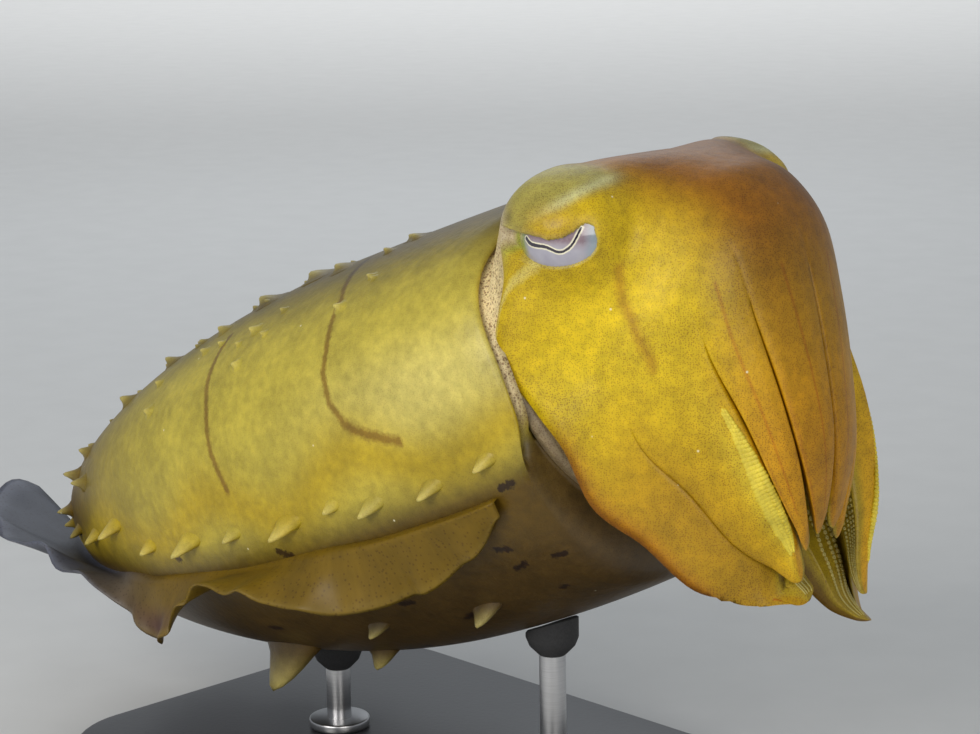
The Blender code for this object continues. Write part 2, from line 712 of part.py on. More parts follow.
def build():
    clear_scene()
    mantle_skin = material("mantle_skin", (0.62, 0.50, 0.14), 0.45)
    head_skin = material("head_skin", (0.60, 0.40, 0.04), 0.42)
    arm_skin = material("arm_skin", (0.60, 0.36, 0.03), 0.42)
    eye_finish = material("eye_finish", (0.55, 0.55, 0.66), 0.12)
    fin_skin = material("fin_skin", (0.45, 0.44, 0.46), 0.40)
    funnel_skin = material("funnel_skin", (0.50, 0.40, 0.24), 0.45)
    base_finish = material("base_finish", (0.03, 0.03, 0.035), 0.35)
    rod_finish = material("rod_finish", (0.55, 0.55, 0.56), 0.30, 1.0)
    mantle = build_mantle(mantle_skin)
    build_head(head_skin)
    build_eyes(eye_finish)
    build_arms(arm_skin)
    for side in ("right", "left"):
        build_fin(side, fin_skin)
    build_funnel(funnel_skin)
    build_base(base_finish)
    build_rods(mantle, rod_finish)


build()
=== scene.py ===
import math
import random

import bmesh
import bpy
import numpy as np
from mathutils import Matrix, Vector


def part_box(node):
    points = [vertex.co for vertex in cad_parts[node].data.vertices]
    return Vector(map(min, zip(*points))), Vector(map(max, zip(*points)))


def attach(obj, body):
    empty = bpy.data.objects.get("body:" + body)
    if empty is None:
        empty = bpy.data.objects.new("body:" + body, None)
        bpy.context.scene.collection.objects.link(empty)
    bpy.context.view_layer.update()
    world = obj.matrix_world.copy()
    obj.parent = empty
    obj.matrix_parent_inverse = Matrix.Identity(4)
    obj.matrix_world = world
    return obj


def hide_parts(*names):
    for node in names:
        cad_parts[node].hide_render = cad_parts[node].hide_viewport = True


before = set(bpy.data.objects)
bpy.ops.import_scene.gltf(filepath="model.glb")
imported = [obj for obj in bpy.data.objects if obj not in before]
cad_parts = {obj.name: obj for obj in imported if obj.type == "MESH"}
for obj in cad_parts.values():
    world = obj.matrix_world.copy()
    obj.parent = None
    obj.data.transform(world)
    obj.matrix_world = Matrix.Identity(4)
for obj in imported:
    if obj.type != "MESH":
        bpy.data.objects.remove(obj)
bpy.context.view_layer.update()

# View and light
#
# The animal was seen from its front right and a little above, through a long
# lens. The floor is a plain pale sheet and the light comes from large soft
# panels, the brightest one high at the viewer's left.
BODY_PLACE = Vector((0.075, 0.0, 0.160))
LOOK_AT = BODY_PLACE + Vector((-0.057, 0.0, -0.016))
VIEW_TURN = math.radians(46.35)
VIEW_RISE = math.radians(12.38)
VIEW_ROLL = math.radians(-0.93)
VIEW_DISTANCE = 0.80
SENSOR_WIDTH = 36.0
IMAGE_WIDTH = 980.0
FOCAL_PIXELS = 2670.9
MEETING_GAP = 0.00001


def clear_selection():
    bpy.ops.object.select_all(action="DESELECT")


def only(piece):
    """Select one piece and make it the active one."""
    clear_selection()
    piece.select_set(True)
    bpy.context.view_layer.objects.active = piece


def add_node(tree, kind, inputs=None, **settings):
    """Shader node with its settings, its sockets filled by values or by links."""
    made = tree.nodes.new(kind)
    for name, value in settings.items():
        setattr(made, name, value)
    for name, value in (inputs or {}).items():
        if isinstance(value, bpy.types.NodeSocket):
            tree.links.new(value, made.inputs[name])
        else:
            made.inputs[name].default_value = value
    return made


def calculate(tree, operation, first, second=0.0, third=0.0):
    """Result socket of one sum on numbers or sockets."""
    return add_node(tree, "ShaderNodeMath", {0: first, 1: second, 2: third}, operation=operation).outputs[0]


def object_place(tree):
    return add_node(tree, "ShaderNodeTexCoord").outputs["Object"]


def noise(tree, place, scale, detail, roughness=0.5):
    return add_node(tree, "ShaderNodeTexNoise", {"Vector": place, "Scale": scale, "Detail": detail,
                                                 "Roughness": roughness}).outputs[0]


def blend(tree, amount, first, second):
    return add_node(tree, "ShaderNodeMix", {0: amount, 6: first, 7: second}, data_type="RGBA").outputs[2]


def fade(tree, value, start, end, low=0.0, high=1.0):
    """Socket that runs from low, where the value is start, to high, where it is end."""
    return add_node(tree, "ShaderNodeMapRange", {"Value": value, "From Min": start, "From Max": end,
                                                 "To Min": low, "To Max": high}).outputs[0]


def bump(tree, shader, height, strength, distance):
    raised = add_node(tree, "ShaderNodeBump", {"Height": height, "Strength": strength, "Distance": distance})
    tree.links.new(raised.outputs[0], shader.inputs["Normal"])


def new_finish(name, roughness, **sockets):
    """Material with a Principled shader whose fixed values stand on its own sockets."""
    finish = bpy.data.materials.new(name)
    finish.use_nodes = True
    shader = finish.node_tree.nodes["Principled BSDF"]
    shader.inputs["Roughness"].default_value = roughness
    for socket, value in sockets.items():
        shader.inputs[socket.replace("_", " ")].default_value = value
    return finish, finish.node_tree, shader


def dress(piece, finish):
    piece.data.materials.clear()
    piece.data.materials.append(finish)


def join_pieces(pieces, name):
    clear_selection()
    for piece in pieces:
        piece.select_set(True)
    bpy.context.view_layer.objects.active = pieces[0]
    bpy.ops.object.join()
    pieces[0].name = name
    return pieces[0]


def close_up(piece):
    """Merge the edges that meet, turn the faces outward and smooth the shading."""
    only(piece)
    bpy.ops.object.mode_set(mode="EDIT")
    bpy.ops.mesh.select_all(action="SELECT")
    bpy.ops.mesh.remove_doubles(threshold=MEETING_GAP)
    bpy.ops.mesh.normals_make_consistent(inside=False)
    if bmesh.from_edit_mesh(piece.data).calc_volume(signed=True) < 0.0:
        bpy.ops.mesh.flip_normals()
    bpy.ops.object.mode_set(mode="OBJECT")
    bpy.ops.object.shade_smooth()


FLOOR_SIZE = 16.0
bpy.ops.mesh.primitive_plane_add(size=FLOOR_SIZE, location=(0.0, 0.0, 0.0))
floor = bpy.context.object
floor.name = "floor"
floor_finish, tree, shader = new_finish("floor_sheet", 0.85)
grain = noise(tree, object_place(tree), 40.0, 4.0)
tree.links.new(blend(tree, grain, (0.66, 0.66, 0.65, 1.0), (0.72, 0.72, 0.71, 1.0)),
               shader.inputs["Base Color"])
dress(floor, floor_finish)

world = bpy.data.worlds.new("studio")
bpy.context.scene.world = world
world.use_nodes = True
SKY_COLOUR = (0.80, 0.85, 0.90, 1.0)
SKY_STRENGTH = 0.42
background = world.node_tree.nodes["Background"]
background.inputs["Color"].default_value = SKY_COLOUR
background.inputs["Strength"].default_value = SKY_STRENGTH

FAR_PLACE = Vector((-2.6, 2.6, 2.4))

# Name, place, size, power, colour, spread and what each panel faces
PANELS = (
    ("key_panel", Vector((0.10, -1.05, 0.66)), 0.60, 8.2, (1.0, 0.97, 0.92), 180.0, LOOK_AT),
    ("front_panel", Vector((1.05, -0.50, 0.55)), 0.55, 3.6, (1.0, 0.96, 0.90), 180.0, LOOK_AT),
    ("back_panel", Vector((-0.90, 0.80, 0.90)), 0.80, 2.6, (0.90, 0.95, 1.0), 180.0, LOOK_AT),
    ("far_panel", FAR_PLACE, 3.4, 30.0, (1.0, 1.0, 1.0), 90.0, FAR_PLACE - Vector((0.0, 0.0, 1.0))),
)
for name, place, size, power, colour, spread, faced in PANELS:
    lamp = bpy.data.lights.new(name, "AREA")
    lamp.size = size
    lamp.energy = power
    lamp.color = colour
    lamp.spread = math.radians(spread)
    panel = bpy.data.objects.new(name, lamp)
    panel.location = place
    panel.rotation_euler = (faced - place).to_track_quat("-Z", "Y").to_euler()
    bpy.context.scene.collection.objects.link(panel)

level = math.cos(VIEW_RISE)
toward_viewer = Vector((math.sin(VIEW_TURN) * level, -math.cos(VIEW_TURN) * level, math.sin(VIEW_RISE)))
lens = bpy.data.cameras.new("camera")
lens.sensor_width = SENSOR_WIDTH
lens.lens = SENSOR_WIDTH * FOCAL_PIXELS / IMAGE_WIDTH
camera = bpy.data.objects.new("camera", lens)
level_right = Vector((math.cos(VIEW_TURN), math.sin(VIEW_TURN), 0.0))
level_up = toward_viewer.cross(level_right)
right = level_right * math.cos(VIEW_ROLL) + level_up * math.sin(VIEW_ROLL)
up = level_up * math.cos(VIEW_ROLL) - level_right * math.sin(VIEW_ROLL)
turned = Matrix((right, up, toward_viewer)).transposed().to_4x4()
camera.matrix_world = Matrix.Translation(LOOK_AT + toward_viewer * VIEW_DISTANCE) @ turned
bpy.context.scene.collection.objects.link(camera)
bpy.context.scene.camera = camera
bpy.context.scene.view_settings.view_transform = "Standard"

# Display stand
#
# A flat aluminium plate, painted satin black, with rounded corners and a
# softened upper edge. The two rods that carry the animal screw into it.
base_low, base_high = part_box("stand_base")
CORNER_RADIUS = 0.030
EDGE_ROUNDING = 0.0016


def painted_finish():
    finish, tree, shader = new_finish("base_paint", 0.36, Coat_Weight=0.2)
    place = object_place(tree)
    dust = noise(tree, place, 30.0, 6.0)
    tree.links.new(blend(tree, dust, (0.022, 0.022, 0.026, 1.0), (0.045, 0.045, 0.050, 1.0)),
                   shader.inputs["Base Color"])
    bump(tree, shader, noise(tree, place, 700.0, 2.0), 0.25, 0.0002)
    return finish


def edit_bevel(piece, width, steps, chosen):
    """Bevel the edges that chosen(first, second) picks, in edit mode."""
    only(piece)
    bpy.ops.object.mode_set(mode="EDIT")
    bpy.ops.mesh.select_mode(type="EDGE")
    work = bmesh.from_edit_mesh(piece.data)
    for edge in work.edges:
        edge.select_set(chosen(edge.verts[0].co, edge.verts[1].co))
    bmesh.update_edit_mesh(piece.data)
    bpy.ops.mesh.bevel(offset=width, segments=steps, affect="EDGES")
    bpy.ops.object.mode_set(mode="OBJECT")


def place_in_mesh(piece):
    only(piece)
    bpy.ops.object.transform_apply(location=True, rotation=True, scale=True)


bpy.ops.mesh.primitive_cube_add(size=1.0, location=(base_low + base_high) / 2, scale=base_high - base_low)
plate = bpy.context.object
plate.name = "stand_plate"
place_in_mesh(plate)
top = base_high.z
edit_bevel(plate, CORNER_RADIUS, 12, lambda a, b: abs(a.z - b.z) > 0.5 * top)
edit_bevel(plate, EDGE_ROUNDING, 4, lambda a, b: a.z > 0.9 * top and b.z > 0.9 * top)
bpy.ops.object.shade_smooth_by_angle(angle=math.radians(30))
dress(plate, painted_finish())
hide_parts("stand_base")
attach(plate, "root")

# Skin
#
# One soft moist skin covers the mantle, the neck, the head and the eight
# arms, and turns in over the arms' rims to their sucker faces. It is made as
# flat grids, finer round the eyes, that are wrapped on the animal's form.
MANTLE_LENGTH = 0.275
MANTLE_HALF_WIDTH = 0.066
MANTLE_RISE = 0.049
MANTLE_DROP = 0.073
MANTLE_PITCH = math.radians(21.2)
MANTLE_FULLNESS = 2.2
LIP_WALL = 0.0022
POCKET_DEPTH = 0.016
DORSAL_LOBE = 0.020
NECK_STEP = 0.0085
NECK_FOLD = 0.60
NECK_HOLLOW = 3.8
RIM_ROUNDING = 0.0016
RIM_ROUNDING_END = 0.022
RIM_REACH = 0.008
RIM_REACH_AT = 98.0
RIM_REACH_SPREAD = 30.0
RIM_REACH_END = 0.12
HEAD_YAW = math.radians(7.0)

# Head and arm crown, front or dorsal point (x, z), side point (x, half width,
# z) and ventral point (x, z) of each station
HEAD_STATIONS = (
    ((0.0075, 0.048), (-0.001, 0.0515, 0.006), (0.022, -0.044)),
    ((0.011, 0.0540), (-0.002, 0.0525, 0.004), (0.023, -0.044)),
    ((0.021, 0.0565), (-0.0025, 0.0525, 0.000), (0.024, -0.0435)),
    ((0.034, 0.0550), (0.001, 0.0515, -0.005), (0.025, -0.043)),
    ((0.0455, 0.0515), (0.007, 0.0505, -0.0125), (0.026, -0.043)),
    ((0.0555, 0.041), (0.0138, 0.049, -0.021), (0.030, -0.044)),
    ((0.0615, 0.023), (0.0207, 0.046, -0.036), (0.036, -0.047)),
    ((0.0665, 0.002), (0.0325, 0.0395, -0.0455), (0.043, -0.051)),
    ((0.0695, -0.019), (0.0435, 0.032, -0.058), (0.050, -0.056)),
    ((0.068, -0.038), (0.0531, 0.022, -0.0634), (0.057, -0.061)),
    ((0.064, -0.050), (0.0657, 0.012, -0.0650), (0.066, -0.063)),
)
HEAD_FULLNESS = 2.3
KEEL_HALF_ANGLE = 9.0
KEEL_HEIGHT = 0.007
BROW_CENTRE = np.array((-0.001, -0.036, 0.045))
BROW_DIRECTION = np.array((-0.28, -0.45, 0.85))
BROW_HEIGHT = 0.0095
BROW_SPREAD = 0.016

# Arms from the front pair to the ventral pair: first and last angle round
# the crown, place of the tip along it, number of columns
ARMS = (("1", 0.0, 30.0, 0.93, 22), ("2", 30.0, 50.0, 0.94, 18), ("3", 50.0, 80.0, 0.98, 24),
        ("4", 80.0, 180.0, 1.00, 60))
ARMS_FREE = 0.56
ARM_CORE = 0.50
ARM_ROOM = 0.0003
CREASE = 0.028
ROUNDING = 0.010
TIP_ROUNDING = 0.035
CREASE_START = 0.46
SPREAD_START = 0.42
OVERLAP_STEP = 0.008
ARM_SPREAD = {
    ("left", "3"): np.array((0.003, 0.009, -0.010)),
    ("left", "4"): np.array((0.001, 0.014, -0.013)),
}
SPREAD_BLEND = 14.0
FREE_ROWS = 40
SIDE_COLUMNS = 4

# Eyes in the head's own frame, and the opening of the lids in the eye's own
# frame, forward and up from its axis
EYE_RADIUS = 0.0158
EYE_CENTRE = np.array((0.0110, -0.0374, 0.0372))
EYE_AXIS = np.array((0.16, -0.98, 0.10)) / np.linalg.norm((0.16, -0.98, 0.10))
LID_THICKNESS = 0.0008
LID_EDGE = 0.0003
LID_BLEND = 0.007
SOCKET_DEPTH = 0.0024
SOCKET_REACH = 0.032
LID_SWELLING = 0.0006
OPENING_MIDDLE = (-0.0006, -0.0012)
OPENING_HALF = (0.0119, 0.0068)
UPPER_LID = ((-0.0125, 0.0009), (-0.0095, 0.0002), (-0.0070, -0.0002), (-0.0045, -0.0004), (0.0, -0.0013),
             (0.0037, -0.0005), (0.0061, 0.0011), (0.0076, 0.0025), (0.0088, 0.0036), (0.0105, 0.0030),
             (0.0113, 0.0))
EYE_REACH = 0.019


def eased(value):
    """Smooth step from 0 to 1."""
    value = np.clip(value, 0.0, 1.0)
    return value * value * (3.0 - 2.0 * value)


def bell(value, middle, spread):
    return np.exp(-((value - middle) / spread) ** 2)


def signed_power(value, power):
    return np.sign(value) * np.abs(value) ** power


def through(stations, t):
    """Points at t on the smooth curve through evenly spaced stations."""
    rows = np.asarray(stations, float)
    last = len(rows) - 1
    place = np.clip(t, 0.0, 1.0) * last
    first = np.minimum(place.astype(int), last - 1)
    f = (place - first)[:, None]
    a, b, c, d = (rows[np.clip(first + k, 0, last)] for k in (-1, 0, 1, 2))
    return 0.5 * (2 * b + (c - a) * f + (2 * a - 5 * b + 4 * c - d) * f ** 2 + (3 * b - a - 3 * c + d) * f ** 3)


def half_share(s, peak, front, power, tail_power):
    """Share of the mantle's full half size at s along it."""
    before = 1.0 - (1.0 - front) * ((peak - s) / peak) ** 2
    fall = 1.0 - np.clip((s - peak) / (1.0 - peak), 0.0, 1.0) ** power
    return np.where(s < peak, before, fall ** (1.0 / tail_power))


def mantle_points(s, phi, inset=0.0):
    """Points on the mantle, phi from the back's middle (0) to the belly's (180), the left side below 0."""
    sine = np.sin(np.radians(phi))
    cosine = np.cos(np.radians(phi))
    reach = RIM_REACH * bell(np.abs(phi), RIM_REACH_AT, RIM_REACH_SPREAD)
    s = s - reach / MANTLE_LENGTH * np.maximum(1.0 - s / RIM_REACH_END, 0.0) ** 2
    half_width = np.maximum(MANTLE_HALF_WIDTH * half_share(s, 0.38, 0.90, 2.1, 1.7) - inset, 0.0)
    rise = MANTLE_RISE * half_share(s, 0.33, 0.96, 1.9, 1.5) - inset
    drop = MANTLE_DROP * half_share(s, 0.30, 0.92, 1.9, 1.4) - inset
    power = 2.0 / MANTLE_FULLNESS
    y = -half_width * signed_power(sine, power)
    z = np.maximum(np.where(cosine > 0.0, rise, drop), 0.0) * signed_power(cosine, power)
    x = -(MANTLE_LENGTH - inset) * s + DORSAL_LOBE * (np.maximum(cosine, 0.0) ** 8 - 0.2) * (1.0 - s) ** 3
    turned = (x * math.cos(MANTLE_PITCH) - z * math.sin(MANTLE_PITCH), y,
              x * math.sin(MANTLE_PITCH) + z * math.cos(MANTLE_PITCH))
    return np.stack(turned, -1) + np.array(BODY_PLACE)


def head_points(t, phi):
    """Points on the head and arm crown in the head's own frame, the left side below 0."""
    front, side, ventral = (through([row[k] for row in HEAD_STATIONS], t) for k in range(3))
    angle = np.abs(phi)
    sine = np.sin(np.radians(angle))
    cosine = np.cos(np.radians(angle))
    power = 2.0 / HEAD_FULLNESS
    flange = KEEL_HEIGHT * eased((t - 0.15) / 0.3) * eased((1.02 - t) / 0.15)
    middle = np.stack((side[:, 0] + 0.5 * flange, 0.0 * t, side[:, 2] + 0.5 * flange), -1)
    end = np.where((cosine >= 0.0)[:, None], front, ventral)
    reach = np.stack((end[:, 0], 0.0 * t, end[:, 1]), -1) - middle
    point = middle + reach * (np.abs(cosine) ** power)[:, None]
    point[:, 1] = -(side[:, 1] - flange) * sine ** power
    share = np.maximum(1.0 - np.abs(angle - 90.0) / KEEL_HALF_ANGLE, 0.0) ** 1.3
    point += (flange * share)[:, None] * np.array((-0.5, -1.0, -0.5))
    near = np.exp(-((point - BROW_CENTRE) ** 2).sum(-1) / (2.0 * BROW_SPREAD ** 2))
    point += near[:, None] * BROW_DIRECTION * BROW_HEIGHT
    point[:, 1] *= np.where(phi < 0.0, -1.0, 1.0)
    return point


def crown_middle(t):
    """Points that the arms surround at t."""
    return 0.45 * head_points(t, 0.0 * t) + 0.55 * head_points(t, 0.0 * t + 180.0)


def on_stand(point, t):
    """From the head's own frame to its place, where the turn to the left eases in from the neck."""
    yaw = HEAD_YAW * np.maximum(eased(t / 0.25), eased(0.5 + point[:, 1] / 0.04))
    x = point[:, 0] * np.cos(yaw) - point[:, 1] * np.sin(yaw)
    y = point[:, 0] * np.sin(yaw) + point[:, 1] * np.cos(yaw)
    return np.stack((x, y, point[:, 2]), -1) + np.array(BODY_PLACE)


def eye_axes():
    """Forward and upward directions across the eye's axis, in the head's own frame."""
    upward = np.array((0.0, 0.0, 1.0)) - EYE_AXIS * EYE_AXIS[2]
    upward /= np.linalg.norm(upward)
    forward = np.cross(EYE_AXIS, upward)
    return (forward if forward[0] > 0.0 else -forward), upward


def lid_depth(forward, upward):
    """Distance inside the edge of the opening between the lids, below 0 on the lids."""
    across = np.clip((forward - OPENING_MIDDLE[0]) / OPENING_HALF[0], -1.0, 1.0)
    lower = OPENING_MIDDLE[1] - OPENING_HALF[1] * np.sqrt(1.0 - across ** 2)
    upper = np.interp(forward, [p[0] for p in UPPER_LID], [p[1] for p in UPPER_LID])
    ends = 2.0 * (OPENING_HALF[0] - np.abs(forward - OPENING_MIDDLE[0]))
    return np.minimum(np.minimum(upper - upward, upward - lower), ends)


def fit_lids(point):
    """Press the skin into each socket and wrap the lids over the eyeball."""
    forward, upward = eye_axes()
    flip = np.where(point[:, 1] > 0.0, -1.0, 1.0)
    local = point.copy()
    local[:, 1] *= flip
    reach = local - EYE_CENTRE
    distance = np.linalg.norm(reach, axis=1)
    facing = reach / distance[:, None]
    a = EYE_RADIUS * facing @ forward
    b = EYE_RADIUS * facing @ upward
    depth = lid_depth(a, b)
    upper = np.interp(a, [p[0] for p in UPPER_LID], [p[1] for p in UPPER_LID])
    swelling = LID_SWELLING * bell(b - upper, 0.0035, 0.0030) * bell(a, 0.0005, 0.0085)
    lid = EYE_RADIUS + LID_THICKNESS + swelling
    blend = np.clip(0.5 + 0.5 * (lid - distance) / LID_BLEND, 0.0, 1.0) * eased((facing @ EYE_AXIS + 0.5) / 0.5)
    outer = distance * (1.0 - blend) + lid * blend + LID_BLEND * blend * (1.0 - blend)
    inside = eased(depth / LID_EDGE * 0.5 + 0.5) * (facing @ EYE_AXIS > 0.3)
    near = (facing @ EYE_AXIS > -0.5) & (distance < SOCKET_REACH)
    wanted = np.where(near, outer * (1.0 - inside) + (EYE_RADIUS - SOCKET_DEPTH) * inside, distance)
    local = EYE_CENTRE + facing * wanted[:, None]
    local[:, 1] *= flip
    return local


def arm_row(number):
    return next(row for row in ARMS if row[0] == number)


def crown_surface(number, side, t, across, rho, free):
    """Points of one arm: across from -1 to 1, rho 1 on the outer face and 0 on the sucker face.

    free is 0 where the arm still meets its neighbours and 1 where it hangs free.
    """
    _, low, high, tip, _ = arm_row(number)
    turn = 1.0 if side == "right" else -1.0
    middle_angle = 0.5 * (low + high)
    thin = np.clip((t / tip - 0.80) / 0.21, 0.0, 0.95)
    close = np.sqrt(1.0 - thin ** 2)
    centre = crown_middle(t)
    angle = middle_angle + 0.5 * (high - low) * across * (0.2 + 0.8 * close)
    radius = np.linalg.norm(head_points(t, turn * angle) - centre, axis=1)
    angle -= np.degrees(ARM_ROOM * free / radius) * across
    surface = head_points(t, turn * angle)
    edge = np.abs(across)
    deep = eased((t - CREASE_START) / 0.30)
    step = np.sign(across) * np.sin(math.pi * np.clip((edge - 0.55) / 0.45, 0.0, 1.0)) * OVERLAP_STEP
    rounded = ROUNDING + TIP_ROUNDING * eased((t - 0.72) / 0.22)
    outer = 1.0 - deep * (rounded * edge ** 5 + CREASE * edge ** 24 - step)
    core = ARM_CORE + 0.32 * (1.0 - close)
    share = core + (outer - core) * rho
    point = centre + (surface - centre) * share[:, None]
    ridge = head_points(t, 0.0 * t + turn * middle_angle)
    heart = centre + (ridge - centre) * (0.5 + 0.5 * core)[:, None]
    closing = np.sqrt(1.0 - np.clip((t - tip + 0.035) / 0.035, 0.0, 1.0) ** 2)
    point = heart + (point - heart) * closing[:, None]
    return point + spread_of(side, number, t, turn * angle, free)


def spread_of(side, number, t, phi, free):
    """How far an arm is held away from its place in the closed crown."""
    own = ARM_SPREAD.get((side, number), np.zeros(3))
    shared = np.zeros((len(t), 3))
    for (spread_side, spread_number), offset in ARM_SPREAD.items():
        _, low, high, _, _ = arm_row(spread_number)
        turn = 1.0 if spread_side == "right" else -1.0
        angle = np.mod(turn * phi + 90.0, 360.0) - 90.0
        weight = eased(0.5 + (angle - low) / SPREAD_BLEND) * eased(0.5 + (high - angle) / SPREAD_BLEND)
        shared += weight[:, None] * offset
    amount = eased((t - SPREAD_START) / 0.3)
    held = eased(free)
    return amount[:, None] * (shared * (1.0 - held)[:, None] + own * held[:, None])


def edge_steps(count):
    """Values from -1 to 1, closer together near both ends."""
    even = np.linspace(-1.0, 1.0, count + 1)
    return 0.45 * even + 0.55 * np.sin(0.5 * math.pi * even)


def crown_columns():
    """Signed angles of the columns round the body, with the left side first."""
    right = [0.0]
    for _, low, high, _, count in ARMS:
        right += list(0.5 * (low + high) + 0.5 * (high - low) * edge_steps(count)[1:])
    right = np.array(right)
    return np.concatenate((-right[:0:-1], right))


COLUMNS = crown_columns()
POCKET_FLOOR = POCKET_DEPTH / MANTLE_LENGTH
LIP_MARK = 2.0
NECK_START = LIP_MARK + 0.55
MANTLE_ROWS = 1.0 - np.linspace(0.0, 1.0, 106) ** 1.3
LIP_ROWS = ((-0.0024, 0.12), (-0.0040, 0.34), (-0.0046, 0.60), (-0.0036, 0.86), (-0.0005, 1.0),
            (0.5 * POCKET_FLOOR, 1.3), (POCKET_FLOOR, 1.6))
NECK_ROWS = ((0.0, 0.80), (0.45, 0.62), (0.75, 0.52), (1.0, 0.50), (1.15, 0.64))
RIM_RINGS = len(LIP_ROWS) + len(NECK_ROWS) + 1
BRIDGE_ANGLES = ((100.0, 16.0), (177.0, 6.0))
BRIDGE_BULGE = 0.003
BRIDGE_INSIDE = 0.03
HEAD_LEVEL = 0.0001
HEAD_ROWS = np.linspace(0.0, ARMS_FREE, 66)


def neck_points(rise, phi, share):
    """Neck skin from the floor of the mantle's pocket (rise 0) to the pocket's mouth (rise 1)."""
    turn = np.radians(phi)
    hollow = NECK_HOLLOW * np.maximum(-np.cos(turn) - 0.5, 0.0) ** 2
    held_back = min(rise, 1.0) * NECK_FOLD * np.maximum(-np.sin(turn), 0.0)
    return mantle_points(POCKET_FLOOR * (1.0 - rise + held_back), phi, NECK_STEP * (share + hollow))


def crown_faces(t, phi, rho):
    """Points of the arms where they still join: rho 1 on the outer face and 0 on the sucker face."""
    point = np.zeros((len(t), 3))
    angle = np.abs(phi)
    for number, low, high, _, _ in ARMS:
        for side, turn in (("right", 1.0), ("left", -1.0)):
            here = (angle >= low) & (angle <= high) & (turn * phi >= 0.0)
            across = (angle[here] - 0.5 * (low + high)) / (0.5 * (high - low))
            joined = np.zeros(here.sum())
            point[here] = crown_surface(number, side, t[here], across, joined + rho, joined)
    return point


def crown_points(t, phi):
    """Outer face of the head and of the arms where they still join, in place."""
    return on_stand(fit_lids(crown_faces(t, phi, 1.0)), t)


def rim_points(ring, phi):
    """Rings from the mantle's last one (0) over its lip and the neck to the head's first one.

    Low on each side the skin runs straight from the mantle to the head, without a lip.
    """
    rim = mantle_points(0.0 * phi, phi, RIM_ROUNDING)
    head = crown_points(0.0 * phi, phi)
    if ring in (0, RIM_RINGS):
        return head if ring else rim
    if ring <= len(LIP_ROWS):
        s, share = LIP_ROWS[ring - 1]
        own = mantle_points(0.0 * phi + s, phi, RIM_ROUNDING + LIP_WALL * share)
    else:
        rise, share = NECK_ROWS[ring - 1 - len(LIP_ROWS)]
        own = neck_points(rise, phi, share)
    angle = np.abs(phi)
    (first, first_width), (last, last_width) = BRIDGE_ANGLES
    closed = (eased((angle - first) / first_width) * eased((last - angle) / last_width))[:, None]
    outward = rim - mantle_points(0.0 * phi, phi, BRIDGE_INSIDE)
    outward /= np.linalg.norm(outward, axis=1)[:, None]
    share = ring / RIM_RINGS
    bridge = rim + (head - rim) * share + outward * BRIDGE_BULGE * math.sin(math.pi * share)
    return own * (1.0 - closed) + bridge * closed


def body_points(row, column):
    """Places of the body sheet: row counts from the tail to where the arms part, column goes round."""
    phi = np.interp(column, np.arange(len(COLUMNS)), COLUMNS)
    last_mantle = len(MANTLE_ROWS) - 1
    first_head = last_mantle + RIM_RINGS
    point = np.zeros((len(row), 3))
    level = np.zeros(len(row))
    rho = np.ones(len(row))
    on_mantle = row <= last_mantle
    s = np.interp(row[on_mantle], np.arange(last_mantle + 1), MANTLE_ROWS)
    rounding = RIM_ROUNDING * np.maximum(1.0 - s / RIM_ROUNDING_END, 0.0) ** 2
    point[on_mantle] = mantle_points(s, phi[on_mantle], rounding)
    level[on_mantle] = -s
    for ring in range(RIM_RINGS):
        here = (row > last_mantle + ring) & (row <= last_mantle + ring + 1) & (row < first_head)
        near, far = (rim_points(number, phi[here]) for number in (ring, ring + 1))
        point[here] = near + (far - near) * (row[here] - last_mantle - ring)[:, None]
        rho[here] = LIP_MARK + (row[here] - last_mantle) / RIM_RINGS
    on_head = row >= first_head
    t = np.interp(row[on_head] - first_head, np.arange(len(HEAD_ROWS)), HEAD_ROWS)
    point[on_head] = crown_points(t, phi[on_head])
    level[on_head] = np.maximum(t, HEAD_LEVEL)
    return point, phi, level, rho


def arm_points(side, number):
    """Wrapping rule of one free arm: rows run from its root to its tip, columns round its section."""
    _, low, high, tip, count = arm_row(number)
    walk = edge_steps(count)
    wall = np.linspace(1.0, 0.0, SIDE_COLUMNS + 1)[1:-1]
    across = np.concatenate((walk, 0.0 * wall + 1.0, walk[::-1], 0.0 * wall - 1.0, walk[:1]))
    rho = np.concatenate((0.0 * walk + 1.0, wall, 0.0 * walk, wall[::-1], [1.0]))
    turn = 1.0 if side == "right" else -1.0

    def wrap(row, column):
        share = row / FREE_ROWS
        t = ARMS_FREE + (tip - ARMS_FREE) * np.sin(0.5 * math.pi * share)
        index = np.arange(len(across))
        here = np.interp(column, index, across)
        level = np.interp(column, index, rho)
        free = (t - ARMS_FREE) / 0.10
        point = crown_surface(number, side, t, here, level, np.clip(free, 0.0, 1.0))
        phi = turn * (0.5 * (low + high) + 0.5 * (high - low) * here)
        return on_stand(point, t), phi, t, level

    return wrap, len(across) - 1


MOUTH_ROWS = 12
MOUTH_LEVEL = 0.44


def mouth_points(row, column):
    """Sucker faces from where the arms part back to the mouth."""
    phi = np.interp(column, np.arange(len(COLUMNS)), COLUMNS)
    share = row / MOUTH_ROWS
    t = ARMS_FREE + (MOUTH_LEVEL - ARMS_FREE) * np.sin(0.5 * math.pi * share)
    heart = crown_middle(t)
    point = heart + (crown_faces(t, phi, 0.0) - heart) * np.cos(0.5 * math.pi * share)[:, None]
    return on_stand(point, t), phi, t, 0.0 * t


def store_map(mesh, name, flat):
    """Name the mesh's flat map and place its corners by the values of their points."""
    corner = np.zeros(len(mesh.loops), int)
    mesh.loops.foreach_get("vertex_index", corner)
    layer = mesh.uv_layers[0]
    layer.name = name
    layer.uv.foreach_set("vector", flat[corner].astype(np.float32).ravel())


